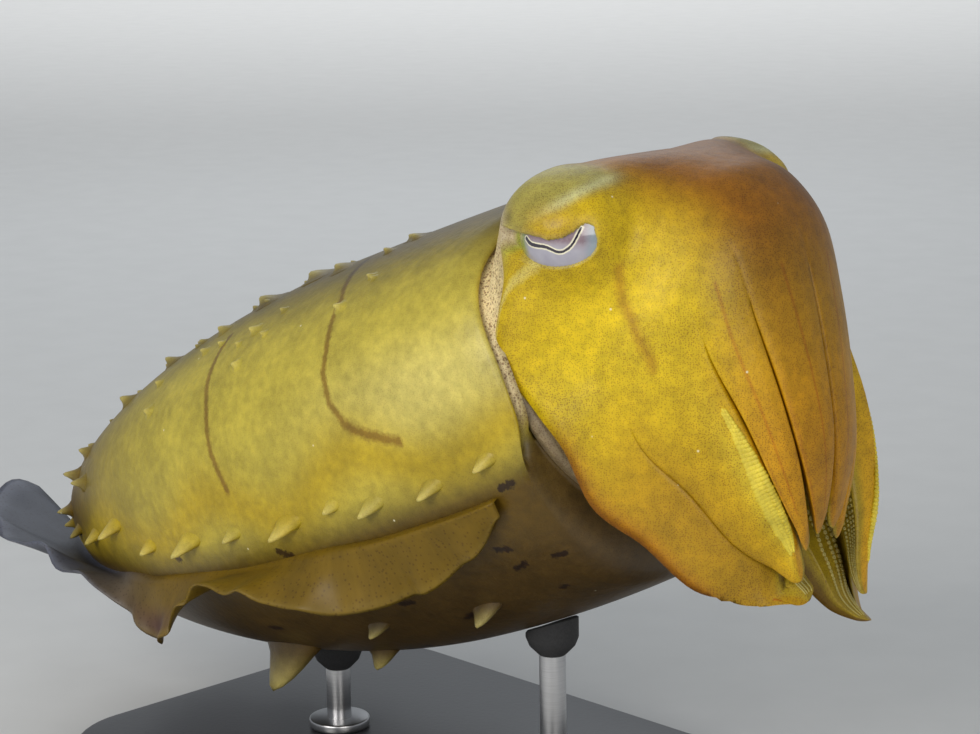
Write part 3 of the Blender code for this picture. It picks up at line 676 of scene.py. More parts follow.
def wrapped_sheet(name, columns, rows, wrap, refined=None, coat=None):
    """Flat grid, refined where asked, then moved on to the animal by wrap(row, column)."""
    clear_selection()
    bpy.ops.mesh.primitive_grid_add(x_subdivisions=columns, y_subdivisions=rows, size=1.0,
                                    location=(0.5, 0.5, 0.0))
    sheet = bpy.context.object
    sheet.name = name
    place_in_mesh(sheet)
    if refined:
        bpy.ops.object.mode_set(mode="EDIT")
        bpy.ops.mesh.select_mode(type="FACE")
        bpy.ops.mesh.select_all(action="DESELECT")
        work = bmesh.from_edit_mesh(sheet.data)
        work.faces.ensure_lookup_table()
        middles = np.array([face.calc_center_median() for face in work.faces])
        places = wrap(middles[:, 1] * rows, middles[:, 0] * columns)[0]
        chosen = np.zeros(len(middles), bool)
        for centre, radius in refined:
            chosen |= np.linalg.norm(places - centre, axis=1) < radius
        for face, picked in zip(work.faces, chosen):
            face.select_set(bool(picked))
        bmesh.update_edit_mesh(sheet.data)
        bpy.ops.mesh.subdivide(number_cuts=3)
        bpy.ops.object.mode_set(mode="OBJECT")
    mesh = sheet.data
    flat = np.zeros(len(mesh.vertices) * 3)
    mesh.vertices.foreach_get("co", flat)
    flat = flat.reshape(-1, 3)
    point, phi, level, rho = wrap(flat[:, 1] * rows, flat[:, 0] * columns)
    mesh.vertices.foreach_set("co", point.ravel())
    store_map(mesh, "place", np.stack((phi / 360.0 + 0.5, level), -1))
    (coat or paint)(mesh, point, phi, level, rho)
    mesh.update()
    return sheet


# Colours of the living skin, with painted shade and painted highlights among them
CREAM = (0.46, 0.375, 0.045)
CREAM_PALE = (0.62, 0.53, 0.15)
OLIVE = (0.100, 0.065, 0.006)
TAIL_YELLOW = (0.115, 0.066, 0.001)
ROW_YELLOW = (0.44, 0.31, 0.006)
FLANK_BROWN_AND_SHADE = (0.090, 0.050, 0.003)
BELLY_BROWN_AND_SHADE = (0.075, 0.042, 0.008)
NECK_GREY = (0.78, 0.63, 0.33)
NECK_SHADE = (0.17, 0.115, 0.045)
GOLD = (0.56, 0.385, 0.003)
CHEEK_YELLOW = (0.66, 0.475, 0.004)
AMBER = (0.67, 0.33, 0.002)
ARM_LOW = (0.40, 0.225, 0.002)
FRONT_BROWN_AND_SHADE = (0.260, 0.100, 0.0015)
UNDER_BROWN = (0.16, 0.085, 0.004)
UNDER_GREY = (0.24, 0.18, 0.095)
BROW_GREEN = (0.33, 0.31, 0.075)
BROW_HIGHLIGHT = (0.58, 0.58, 0.30)
INNER_YELLOW = (0.40, 0.28, 0.015)
PEACH = (0.52, 0.42, 0.28)
LID_GOLD = (0.46, 0.30, 0.006)
LID_PURPLE_AND_SHADOW = (0.20, 0.12, 0.09)
LID_RIM = (0.46, 0.38, 0.08)
REAR_GREEN = (0.30, 0.36, 0.02)
REAR_DARK = (0.07, 0.04, 0.03)
RIM_ORANGE = (0.34, 0.105, 0.002)
RIDGE_GLOW = (0.70, 0.54, 0.030)
NECK_STIPPLE = 2.0
EYE_SKIN_REACH = 0.040


def mix(base, colour, amount):
    return base + (np.array(colour) - base) * np.asarray(amount)[:, None]


def eye_coordinates(point, side):
    """How far forward and upward of an eye's axis a placed point faces, and how near it is to the eye."""
    centre, axis, forward, upward = eye_place(side)
    reach = point - centre
    distance = np.linalg.norm(reach, axis=1)
    facing = reach / distance[:, None]
    near = eased((EYE_SKIN_REACH - distance) / 0.014) * eased((facing @ axis + 0.35) / 0.45)
    return EYE_RADIUS * facing @ forward, EYE_RADIUS * facing @ upward, near


def mantle_colours(s, angle):
    ground = np.tile(CREAM, (len(s), 1))
    ground = mix(ground, CREAM_PALE, bell(s, 0.05, 0.16) * bell(angle, 88.0, 14.0) * 0.8)
    ground = mix(ground, OLIVE, eased((62.0 - angle) / 40.0) * 0.95)
    ground = mix(ground, TAIL_YELLOW, eased((s - 0.48) / 0.40))
    ground = mix(ground, ROW_YELLOW, bell(angle, 101.0 + 4.0 * np.sin(24.0 * s), 7.0) * 0.9)
    # Down the flanks and over the belly the colour turns dark brown: partly the skin's own brown, partly
    # painted shade on the underside.
    ground = mix(ground, FLANK_BROWN_AND_SHADE, eased((angle - 105.0) / 12.0))
    return mix(ground, BELLY_BROWN_AND_SHADE, eased((angle - 120.0) / 24.0))


def head_colours(t, phi, rho):
    angle = np.abs(phi)
    face = np.tile(GOLD, (len(t), 1))
    face = mix(face, CHEEK_YELLOW, bell(t, 0.42, 0.20) * bell(angle, 78.0, 26.0))
    face = mix(face, AMBER, eased((t - 0.50) / 0.30) * (1.0 - 0.65 * eased((angle - 48.0) / 14.0)))
    # The front of the head and arms darkens to brown: partly its own colour, partly painted shade where it
    # faces away from the light.
    face = mix(face, FRONT_BROWN_AND_SHADE, eased((52.0 - angle) / 34.0) * (1.0 - 0.5 * eased((t - 0.45) / 0.3)))
    face = mix(face, ARM_LOW, eased((angle - 66.0) / 16.0) * eased((t - 0.42) / 0.3))
    face = mix(face, UNDER_BROWN, eased((angle - 98.0) / 25.0))
    face = mix(face, UNDER_GREY, eased((angle - 93.0) / 4.0) * eased((0.52 - t) / 0.15))
    face = mix(face, RIDGE_GLOW, bell(angle, 57.0, 6.0) * bell(t, 0.80, 0.15) * 0.8)
    for edge in (28.0, 48.0):
        face = mix(face, RIM_ORANGE, bell(angle, edge, 1.2) * eased((t - 0.62) / 0.2) * 0.5)
    face = mix(face, RIM_ORANGE, bell(angle, 90.0, 1.6) * eased((t - 0.36) / 0.2) * 0.95)
    return mix(face, INNER_YELLOW, eased((0.6 - rho) / 0.4))


def eye_colours(ground, point):
    """Pale greenish brow with a painted highlight along it, golden upper lid with a purple band at its edge,
    partly painted lid shadow, light lid edges and a speckled peach patch behind each eye.
    """
    for side in ("right", "left"):
        a, b, near = eye_coordinates(point, side)
        above = b - (0.0055 + 0.85 * a)
        ground = mix(ground, BROW_GREEN, near * eased(above / 0.007 + 0.4) * 0.80)
        # A pale band along the brow above each eye: painted highlight.
        ground = mix(ground, BROW_HIGHLIGHT, near * bell(above, 0.0012, 0.0022) * eased((b - 0.002) / 0.004) * 0.7)
        ground = mix(ground, LID_GOLD, near * bell(a, 0.001, 0.0075) * bell(b, 0.0036, 0.0034))
        ground = mix(ground, PEACH, near * bell(a, -0.0148, 0.0017) * bell(b, 0.0, 0.0065) * 0.9)
        bow = a + 0.0134 - 20.0 * b * b
        along = near * bell(b, -0.0005, 0.0050)
        ground = mix(ground, REAR_GREEN, along * bell(bow, 0.0006, 0.0007) * eased(0.5 - b / 0.003) * 0.8)
        ground = mix(ground, REAR_DARK, along * bell(bow, 0.0006, 0.0008) * eased(b / 0.003 - 0.2) * 0.8)
        depth = lid_depth(a, b)
        # A purple band along the upper lid's edge: partly the skin's own purple, partly painted shadow of the
        # lid.
        middle = bell(a, -0.001, 0.0080)
        upper = near * middle * eased(b / 0.002 + 0.8)
        ground = mix(ground, LID_PURPLE_AND_SHADOW, upper * bell(depth, -0.0005, 0.0010) * 0.55)
        ground = mix(ground, LID_RIM, near * eased((0.0007 - np.abs(depth)) / 0.0005) * 0.8)
    return ground


def neck_colours(ground, angle, rho):
    """From the mantle's ground colour to the neck's along the rings of lip and neck."""
    open_share = eased((rho - NECK_START) / 0.05)
    closed_share = eased((rho - LIP_MARK - 0.18) / 0.20)
    share = np.where(angle < BRIDGE_ANGLES[0][0] + 8.0, open_share, closed_share)
    # Lower on each side the neck darkens: painted shade under the head and the mantle's rim.
    neck = mix(np.tile(NECK_GREY, (len(angle), 1)), NECK_SHADE, eased((angle - 88.0) / 26.0))
    share *= 1.0 - 0.85 * eased((angle - 96.0) / 14.0)
    return ground + (neck - ground) * share[:, None], share


def store(mesh, ground, stipple):
    """Keep the ground colour and how densely it is stippled, vertex by vertex."""
    colour = np.ones((len(ground), 4), np.float32)
    colour[:, :3] = ground
    mesh.attributes.new("tint", "FLOAT_COLOR", "POINT").data.foreach_set("color", colour.ravel())
    mesh.attributes.new("stipple", "FLOAT", "POINT").data.foreach_set("value", stipple.astype(np.float32))


def paint(mesh, point, phi, level, rho):
    """Colours of mantle, neck, head and arms, with painted shade and painted highlights among them."""
    angle = np.abs(phi)
    ground = mantle_colours(np.clip(-level, 0.0, 1.0), angle)
    stipple = np.full(len(phi), 0.40)
    head = (level > 0.0) & (rho < LIP_MARK)
    ground[head] = eye_colours(head_colours(level[head], phi[head], rho[head]), point[head])
    stipple[head] = 1.0
    rim = rho >= LIP_MARK
    ground[rim], share = neck_colours(ground[rim], angle[rim], rho[rim])
    stipple[rim] = 0.40 + (NECK_STIPPLE - 0.40) * share
    store(mesh, ground, stipple)


def eye_place(side):
    """Centre, axis, forward and upward directions of an eye, in place."""
    forward, upward = eye_axes()
    flip = np.array((1.0, -1.0 if side == "left" else 1.0, 1.0))
    turn = np.array(Matrix.Rotation(HEAD_YAW, 3, "Z"))
    centre = turn @ (EYE_CENTRE * flip) + np.array(BODY_PLACE)
    return (centre, *(turn @ (direction * flip) for direction in (EYE_AXIS, forward, upward)))


eye_regions = [(eye_place(side)[0] + eye_place(side)[1] * EYE_RADIUS, EYE_REACH) for side in ("right", "left")]
body_rows = len(MANTLE_ROWS) + len(LIP_ROWS) + len(NECK_ROWS) + len(HEAD_ROWS) - 1
sheets = [wrapped_sheet("skin", len(COLUMNS) - 1, body_rows, body_points, eye_regions)]
sheets.append(wrapped_sheet("mouth", len(COLUMNS) - 1, MOUTH_ROWS, mouth_points))
for side in ("right", "left"):
    for number, *_ in ARMS:
        rule, columns = arm_points(side, number)
        sheets.append(wrapped_sheet("arm_sheet", columns, FREE_ROWS, rule))
skin = join_pieces(sheets, "skin")
close_up(skin)


# Dark lines and dashes of the skin, and a pale painted highlight along the
# fold behind each eye: (share of the mantle's length, angle round it) and, on
# the head, (share of the crown's length, angle round it)
BACK_ARCS = (((0.262, 20.0), (0.207, 48.0), (0.203, 67.0), (0.207, 75.0), (0.202, 85.0), (0.187, 91.0),
              (0.165, 93.4), (0.116, 97.4)),
             ((0.428, 42.0), (0.426, 63.0), (0.420, 73.0), (0.420, 88.0), (0.410, 96.0)))
BELLY_DASHES = ((0.021, 115.0), (0.068, 131.0), (0.018, 139.5), (0.068, 138.0), (0.216, 131.0), (0.250, 137.5),
                (0.431, 126.5), (0.495, 139.0), (0.060, 152.0), (0.350, 164.0), (0.465, 162.0), (0.361, 114.0),
                (0.565, 110.0), (0.202, 150.0))
CHEEK_LINE = ((0.34, 57.0), (0.405, 64.0), (0.475, 67.0), (0.53, 67.0))
EYE_FOLD_HIGHLIGHT = ((0.205, 62.5), (0.165, 67.5), (0.110, 72.0), (0.080, 76.0), (0.065, 80.5), (0.075, 86.0))
FRONT_LINES = (((0.56, 13.0), (0.74, 10.5), (0.92, 9.5)), ((0.52, 40.0), (0.66, 41.0), (0.86, 42.0)))
DASH_LENGTH = 0.0042
ROUND_MANTLE = 0.38
ROUND_HEAD = 0.30
CROWN_LENGTH = 0.13
FOLD_HIGHLIGHT_SHARE = 0.65


def line_distance(tree, place, points):
    """Socket with the least distance from the place to a line through flat points."""
    least = None
    for first, last in zip(points[:-1], points[1:]):
        run = np.array(last) - np.array(first)
        reach = add_node(tree, "ShaderNodeVectorMath", {0: place, 1: (*first, 0.0)},
                         operation="SUBTRACT").outputs[0]
        scaled = run / (run @ run)
        along = add_node(tree, "ShaderNodeVectorMath", {0: reach, 1: (*scaled, 0.0)}, operation="DOT_PRODUCT")
        held = add_node(tree, "ShaderNodeClamp", {0: along.outputs["Value"]})
        foot = add_node(tree, "ShaderNodeVectorMath", {0: (*-run, 0.0), 1: held.outputs[0], 2: reach},
                        operation="MULTIPLY_ADD")
        length = add_node(tree, "ShaderNodeVectorMath", {0: foot.outputs[0]},
                          operation="LENGTH").outputs["Value"]
        least = length if least is None else calculate(tree, "MINIMUM", least, length)
    return least


def stroke(tree, distance, half_width, soft):
    """Socket that is 1 within half_width of a line and fades to 0 over soft."""
    return fade(tree, distance, half_width + soft, half_width)


def flat_line(line, around, along):
    """Points of a line (share of the length, angle round it) laid out flat."""
    return [(phi / 360.0 * around, share * along) for share, phi in line]


def least_distance(tree, place, lines):
    """Socket with the least distance from the place to any of the flat lines."""
    least = None
    for line in lines:
        distance = line_distance(tree, place, line)
        least = distance if least is None else calculate(tree, "MINIMUM", least, distance)
    return least


def darker(tree, colour, factor):
    return add_node(tree, "ShaderNodeVectorMath", {0: colour, 1: factor}, operation="MULTIPLY").outputs[0]


def skin_finish():
    """Ground colour with patches and mottle, dark lines and dashes, a pale painted highlight on the fold behind
    each eye, then stipple, blots and pale specks.
    """
    finish, tree, shader = new_finish("living_skin", 0.44, Subsurface_Weight=0.06, Subsurface_Scale=0.003,
                                      Coat_Weight=0.06, Coat_Roughness=0.25, Specular_IOR_Level=0.35)
    shader.inputs["Subsurface Radius"].default_value = (1.0, 0.5, 0.15)
    place = object_place(tree)
    tint = add_node(tree, "ShaderNodeAttribute", attribute_name="tint").outputs["Color"]
    stipple = add_node(tree, "ShaderNodeAttribute", attribute_name="stipple").outputs["Fac"]
    patches = noise(tree, place, 48.0, 6.0, 0.65)
    mottle = calculate(tree, "MULTIPLY_ADD", noise(tree, place, 310.0, 4.0), 0.7, 0.65)
    shade = calculate(tree, "MULTIPLY", fade(tree, patches, 0.3, 0.7, 0.74, 1.14), mottle)
    ground = add_node(tree, "ShaderNodeVectorMath", {0: tint, "Scale": shade}, operation="SCALE").outputs[0]

    spot = add_node(tree, "ShaderNodeUVMap", uv_map="place").outputs[0]
    turned, along_it, _ = add_node(tree, "ShaderNodeSeparateXYZ", {0: spot}).outputs
    round_share = calculate(tree, "ABSOLUTE", calculate(tree, "SUBTRACT", turned, 0.5))
    on_mantle, on_head = (add_node(tree, "ShaderNodeCombineXYZ", {
        0: calculate(tree, "MULTIPLY", round_share, around),
        1: calculate(tree, "MULTIPLY", along_it, along)}).outputs[0]
        for around, along in ((ROUND_MANTLE, -MANTLE_LENGTH), (ROUND_HEAD, CROWN_LENGTH)))
    ragged = noise(tree, place, 900.0, 3.0)
    rough_edge = calculate(tree, "MULTIPLY_ADD", ragged, 0.0018, -0.0009)
    torn_edge = calculate(tree, "MULTIPLY_ADD", ragged, 0.0030, -0.0017)
    arcs = [flat_line(arc, ROUND_MANTLE, MANTLE_LENGTH) for arc in BACK_ARCS]
    dashes = []
    for k, (across, along) in enumerate(flat_line(BELLY_DASHES, ROUND_MANTLE, MANTLE_LENGTH)):
        half = 0.5 * DASH_LENGTH * (0.8 + 0.4 * math.sin(3.0 * k))
        lean = 0.35 * math.sin(5.0 * k) * half
        dashes.append(((across - lean, along - half), (across + lean, along + half)))
    cheek = [flat_line(CHEEK_LINE, ROUND_HEAD, CROWN_LENGTH)]
    fold_highlight = [flat_line(EYE_FOLD_HIGHLIGHT, ROUND_HEAD, CROWN_LENGTH)]
    seams = [flat_line(line, ROUND_HEAD, CROWN_LENGTH) for line in FRONT_LINES]
    for where, lines, edge, half_width, soft, factor in (
            (on_mantle, arcs, rough_edge, 0.0005, 0.0012, (0.52, 0.40, 0.28)),
            (on_mantle, dashes, torn_edge, 0.0005, 0.0007, (0.22, 0.16, 0.20)),
            (on_head, cheek, rough_edge, 0.0002, 0.0020, (0.70, 0.58, 0.5)),
            (on_head, fold_highlight, rough_edge, 0.0004, 0.0018, None),
            (on_head, seams, 0.0, 0.0001, 0.0008, (0.88, 0.70, 0.6))):
        mark = stroke(tree, calculate(tree, "ADD", least_distance(tree, where, lines), edge), half_width, soft)
        if factor:
            ground = blend(tree, mark, ground, darker(tree, ground, factor))
        else:
            # The fold behind each eye gets a pale line: painted highlight along its ridge.
            ground = blend(tree, calculate(tree, "MULTIPLY", mark, FOLD_HIGHLIGHT_SHARE), ground, (*CREAM_PALE, 1.0))

    dots, blots, specks = (add_node(tree, "ShaderNodeTexVoronoi", {
        "Vector": place, "Scale": scale, "Randomness": randomness}).outputs["Distance"]
        for scale, randomness in ((1900.0, 0.75), (1000.0, 0.9), (85.0, 1.0)))
    fine = calculate(tree, "MULTIPLY", fade(tree, dots, 0.48, 0.20, 0.0, 0.85),
                     calculate(tree, "MINIMUM", stipple, 1.0))
    fine = calculate(tree, "MULTIPLY", fine, fade(tree, patches, 0.35, 0.65, 1.0, 0.55))
    dotted = blend(tree, fine, ground, darker(tree, ground, (0.48, 0.34, 0.32)))
    neck_share = calculate(tree, "MAXIMUM", calculate(tree, "SUBTRACT", stipple, 1.0), 0.0)
    neck_blot = calculate(tree, "MULTIPLY", fade(tree, blots, 0.40, 0.26, 0.0, 0.8), neck_share)
    blotted = blend(tree, neck_blot, dotted, darker(tree, ground, (0.30, 0.20, 0.16)))
    speckled = blend(tree, fade(tree, specks, 0.035, 0.020, 0.0, 0.8), blotted, (0.75, 0.72, 0.50, 1.0))
    tree.links.new(speckled, shader.inputs["Base Color"])
    bump(tree, shader, noise(tree, place, 420.0, 4.0), 0.30, 0.0006)
    return finish


skin_look = skin_finish()
dress(skin, skin_look)
flesh = ["mantle", "head"] + [f"arm_{side}_{number}_{length}" for side in ("right", "left")
                              for number, *_ in ARMS for length in ("base", "tip")]
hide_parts(*flesh)
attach(skin, "root")

# Eyes
#
# Each eye is a large wet ball deep in the head, silvery violet, with a black
# pupil like a wide, slanting W in a pale rim. The lids of the skin lie on it
# and hold it, and it narrows behind them.
PUPIL = ((-0.0083, -0.0014), (-0.0066, -0.0026), (-0.0040, -0.0029), (-0.0015, -0.0030), (0.0005, -0.0036),
         (0.0022, -0.0041), (0.0038, -0.0038), (0.0055, -0.0025), (0.0066, -0.0008), (0.0074, 0.0012),
         (0.0079, 0.0026))
EYE_SPAN = 0.032
EYE_SHOWN = 0.60
EYE_TUCK = 0.38
EYE_TUCK_SPAN = 0.5


def eye_finish():
    """Painted in a flat map of the eye seen along its axis, forward to the right and up."""
    finish, tree, shader = new_finish("wet_eye", 0.16, Coat_Weight=1.0, Coat_Roughness=0.02)
    spot = add_node(tree, "ShaderNodeUVMap", uv_map="iris").outputs[0]
    centred = add_node(tree, "ShaderNodeVectorMath", {0: spot, 1: (0.5, 0.5, 0.0)},
                       operation="SUBTRACT").outputs[0]
    flat = add_node(tree, "ShaderNodeVectorMath", {0: centred, 1: (EYE_SPAN, EYE_SPAN, 0.0)},
                    operation="MULTIPLY").outputs[0]
    forward, upward, _ = add_node(tree, "ShaderNodeSeparateXYZ", {0: flat}).outputs
    grain = noise(tree, flat, 900.0, 5.0, 0.7)
    silver = blend(tree, noise(tree, flat, 180.0, 3.0), (0.24, 0.23, 0.30, 1.0), (0.44, 0.43, 0.48, 1.0))
    violet_and_lid_shadow = blend(tree, grain, (0.13, 0.075, 0.10, 1.0), (0.36, 0.28, 0.31, 1.0))
    # Above the pupil the iris turns darker violet: partly its own colour, partly painted shadow of the upper
    # lid.
    iris = blend(tree, fade(tree, upward, -0.0036, -0.0010), silver, violet_and_lid_shadow)
    iris = blend(tree, fade(tree, forward, -0.0075, -0.0098, 0.0, 0.85), iris, (0.20, 0.27, 0.03, 1.0))
    iris = blend(tree, fade(tree, forward, 0.0085, 0.0105, 0.0, 0.7), iris, (0.26, 0.36, 0.42, 1.0))
    distance = line_distance(tree, flat, through(PUPIL, np.linspace(0.0, 1.0, 26)))
    ragged = calculate(tree, "ADD", distance, calculate(tree, "MULTIPLY_ADD", grain, 0.0004, -0.0002))
    beyond = calculate(tree, "SUBTRACT", ragged, fade(tree, forward, -0.008, 0.0078, 0.00048, 0.00020))
    rimmed = blend(tree, stroke(tree, beyond, 0.00024, 0.0003), iris, (0.80, 0.76, 0.56, 1.0))
    seen = blend(tree, stroke(tree, beyond, 0.0, 0.00012), rimmed, (0.010, 0.004, 0.018, 1.0))
    tree.links.new(seen, shader.inputs["Base Color"])
    return finish


wet_eye = eye_finish()
for side in ("right", "left"):
    centre, axis, forward, upward = eye_place(side)
    clear_selection()
    bpy.ops.mesh.primitive_uv_sphere_add(segments=72, ring_count=48, radius=EYE_RADIUS)
    ball = bpy.context.object
    ball.name = f"eyeball_{side}"
    ball.rotation_euler = Vector(axis).to_track_quat("Z", "Y").to_euler()
    ball.location = centre
    place_in_mesh(ball)
    bpy.ops.object.shade_smooth()
    points = np.array([vertex.co for vertex in ball.data.vertices]) - centre
    hidden = eased((EYE_SHOWN - points @ axis / EYE_RADIUS) / EYE_TUCK_SPAN)
    points *= (1.0 - EYE_TUCK * hidden)[:, None]
    ball.data.vertices.foreach_set("co", (points + centre).ravel())
    store_map(ball.data, "iris", np.stack((points @ forward, points @ upward), -1) / EYE_SPAN + 0.5)
    dress(ball, wet_eye)
    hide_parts(f"eye_{side}")
    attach(ball, "root")

# Papillae
#
# Soft pointed knobs of the skin: flat ones along each flank, horns toward the
# tail, warts on the back and lobes on the belly. Each grows out of the skin
# with a flared root, bends back and has a pale tip.

# Share of the mantle's length, angle round it, height, root radius, flatness
FLAPS = (
    (0.69, 97.0, 0.0050, 0.0046, 0.45), (0.615, 105.0, 0.0030, 0.0032, 0.6),
    (0.52, 105.5, 0.0052, 0.0050, 0.45),
    (0.43, 106.0, 0.0028, 0.0030, 0.6), (0.33, 107.0, 0.0050, 0.0050, 0.45), (0.25, 106.0, 0.0022, 0.0024, 0.7),
    (0.19, 108.5, 0.0036, 0.0038, 0.5), (0.10, 109.0, 0.0034, 0.0036, 0.5), (0.03, 107.5, 0.0028, 0.0030, 0.6),
    (0.77, 99.0, 0.0038, 0.0036, 0.5), (0.85, 96.0, 0.0036, 0.0034, 0.5), (0.55, 156.0, 0.0150, 0.0105, 0.42),
    (0.43, 165.0, 0.0060, 0.0056, 0.40), (0.17, 149.0, 0.0056, 0.0050, 0.40),
    (0.33, 144.0, 0.0040, 0.0038, 0.5))
HORNS = (
    (0.82, 66.0, 0.0048, 0.0034, 0.8), (0.79, 55.0, 0.0034, 0.0030, 0.9), (0.77, 76.0, 0.0040, 0.0032, 0.8),
    (0.88, 84.0, 0.0050, 0.0034, 0.7), (0.93, 92.0, 0.0042, 0.0030, 0.7), (0.69, 40.0, 0.0034, 0.0034, 0.9),
    (0.61, 30.0, 0.0032, 0.0034, 0.9), (0.56, 62.0, 0.0016, 0.0022, 1.0), (0.47, 34.0, 0.0022, 0.0030, 1.0),
    (0.37, 60.0, 0.0015, 0.0020, 1.0), (0.425, 24.0, 0.0030, 0.0048, 1.0), (0.36, 18.0, 0.0028, 0.0058, 1.0),
    (0.30, 22.0, 0.0022, 0.0042, 1.0), (0.21, 16.0, 0.0018, 0.0036, 1.0), (0.75, 20.0, 0.0034, 0.0034, 0.9),
    (0.86, 34.0, 0.0040, 0.0034, 0.9))
WART_COUNT = 34
WART_LOW = 0.0012
WART_HIGH = 0.0026
WART_ALONG = (0.12, 0.92)
WART_ROUND = (4.0, 52.0)
HORN_RINGS = ((-0.25, 1.60, 0.0), (0.0, 1.25, 0.0), (0.14, 0.90, 0.02), (0.36, 0.62, 0.08), (0.62, 0.42, 0.20),
              (0.86, 0.24, 0.36))
HORN_TIP = (1.0, 0.46)
HORN_LEAN = 0.35
FLAP_RINGS = ((-0.30, 1.50, 0.0), (0.0, 1.22, 0.0), (0.18, 1.00, 0.05), (0.42, 0.80, 0.18), (0.68, 0.56, 0.36),
              (0.88, 0.32, 0.54))
FLAP_TIP = (1.0, 0.66)
FLAP_LEAN = 0.55
FLAP_DROOP = 0.55
HORN_SIDES = 10
HORN_TIP_COLOUR = (0.70, 0.60, 0.20)
NO_STROKES = (0.5, -0.95)


def turned_form(name, sides, rings, tip=None):
    """Closed form drawn out of a circle ring by ring: (height, radius, shift to one side)."""
    clear_selection()
    bpy.ops.mesh.primitive_circle_add(vertices=sides, radius=rings[0][1], fill_type="NGON",
                                      location=(rings[0][2], 0.0, rings[0][0]))
    form = bpy.context.object
    form.name = name
    place_in_mesh(form)
    bpy.ops.object.mode_set(mode="EDIT")
    bpy.ops.mesh.select_all(action="SELECT")
    height, radius, shift = rings[0]
    for next_height, next_radius, next_shift in rings[1:]:
        bpy.ops.mesh.extrude_region_move(TRANSFORM_OT_translate={
            "value": (next_shift - shift, 0.0, next_height - height)})
        factor = next_radius / radius
        bpy.ops.transform.resize(value=(factor, factor, 1.0), center_override=(next_shift, 0.0, next_height))
        height, radius, shift = next_height, next_radius, next_shift
    if tip:
        bpy.ops.mesh.extrude_region_move(TRANSFORM_OT_translate={
            "value": (tip[1] - shift, 0.0, tip[0] - height)})
        bpy.ops.mesh.merge(type="CENTER")
    bpy.ops.mesh.select_all(action="SELECT")
    bpy.ops.mesh.normals_make_consistent(inside=False)
    bpy.ops.object.mode_set(mode="OBJECT")
    bpy.ops.object.shade_smooth()
    return form


def skin_axes(s, phi):
    """Place on the mantle and its outward and rearward directions."""
    steps = np.array((0.0, -0.005, 0.005, 0.0, 0.0))
    turns = np.array((0.0, 0.0, 0.0, -1.0, 1.0))
    here, ahead, behind, above, below = mantle_points(s + steps, phi + turns)
    rear = (behind - ahead) / np.linalg.norm(behind - ahead)
    outward = np.cross(rear, below - above)
    return here, outward / np.linalg.norm(outward), rear


def copy_to(form, columns, place):
    """Own copy of a form, with its axes along the three columns."""
    twin = form.copy()
    twin.data = form.data.copy()
    bpy.context.scene.collection.objects.link(twin)
    turned = np.eye(4)
    turned[:3, :3] = np.stack(columns, 1)
    turned[:3, 3] = place
    twin.data.transform(Matrix(turned.tolist()))
    if np.linalg.det(turned[:3, :3]) < 0.0:
        twin.data.flip_normals()
    return twin


def tint_copy(twin, low, high, share, stipple):
    """Colour a copy from its root to its tip."""
    for name in ("tint", "stipple"):
        if name in twin.data.attributes:
            twin.data.attributes.remove(twin.data.attributes[name])
    ground = mix(np.tile(low, (len(share), 1)), high, share)
    store(twin.data, ground, np.full(len(share), stipple))


def join_copies(copies, name):
    """One piece of all the copies, whose flat map lies clear of the skin's lines."""
    joined = join_pieces(copies, name)
    store_map(joined.data, "place", np.tile(np.array(NO_STROKES), (len(joined.data.vertices), 1)))
    return joined


horn = turned_form("horn", HORN_SIDES, HORN_RINGS, HORN_TIP)
flap = turned_form("flap", HORN_SIDES, FLAP_RINGS, FLAP_TIP)
random.seed(11)
warts = []
for _ in range(WART_COUNT):
    radius = random.uniform(WART_LOW, WART_HIGH)
    warts.append((random.uniform(*WART_ALONG), random.uniform(*WART_ROUND), 0.8 * radius, radius, 1.0))
horns = []
for turn in (1.0, -1.0):
    for form, rows in ((flap, FLAPS), (horn, HORNS + tuple(warts))):
        share = np.clip(np.array([vertex.co.z for vertex in form.data.vertices]), 0.0, 1.0)
        for s, phi, height, radius, flat in rows:
            vary = random.uniform(0.9, 1.1) if turn < 0.0 else 1.0
            here, outward, rear = skin_axes(s, turn * phi)
            down = np.cross(outward, rear) * turn
            down *= -np.sign(down[2])
            if form is flap:
                upright = (outward + (rear * FLAP_LEAN + down * FLAP_DROOP) * (phi < 120.0)) * height * vary
            else:
                upright = (outward + rear * HORN_LEAN) * height * vary
            twin = copy_to(form, (rear * radius, np.cross(outward, rear) * radius * flat, upright), here)
            # The root takes the mantle's colour beneath it, including the painted shade on flanks and belly.
            root = mantle_colours(np.array((s,)), np.array((phi,)))[0]
            tint_copy(twin, root, 0.4 * root + 0.6 * np.array(HORN_TIP_COLOUR), share ** 1.5, 0.4)
            horns.append(twin)
bpy.data.objects.remove(flap)
bpy.data.objects.remove(horn)
papillae = join_copies(horns, "papillae")
dress(papillae, skin_look)
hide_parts("mantle")
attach(papillae, "root")

# Suckers
#
# Small soft stalkless cups in four rows along the inner face of every arm,
# smaller toward the tips. At the outer edge of the third arms their rims
# show through the thin skin as a bright scalloped ridge.
SUCKER_RINGS = ((-0.5, 0.85, 0.0), (0.35, 0.95, 0.0), (0.60, 0.80, 0.0), (0.55, 0.55, 0.0))
SUCKER_HOLLOW = (0.15, 0.0)
SUCKER_SIDES = 8
SUCKER_ROWS = (-0.66, -0.22, 0.22, 0.66)
SUCKER_BAND = 0.015
SUCKER_LARGEST = 0.0013
SUCKER_FIRST = 0.60
SUCKER_SHARE = 0.20
SUCKER_TAPER = 0.55
SUCKER_COLOUR = (0.52, 0.40, 0.08)
SUCKER_RIM = (0.66, 0.58, 0.22)
RIDGE_RINGS = ((-0.6, 1.0, 0.0), (0.0, 0.96, 0.0), (0.25, 0.80, 0.0), (0.42, 0.55, 0.0))
RIDGE_TOP = (0.52, 0.0)
RIDGE_PLACES = np.linspace(0.660, 0.905, 40)
RIDGE_ACROSS = -0.76
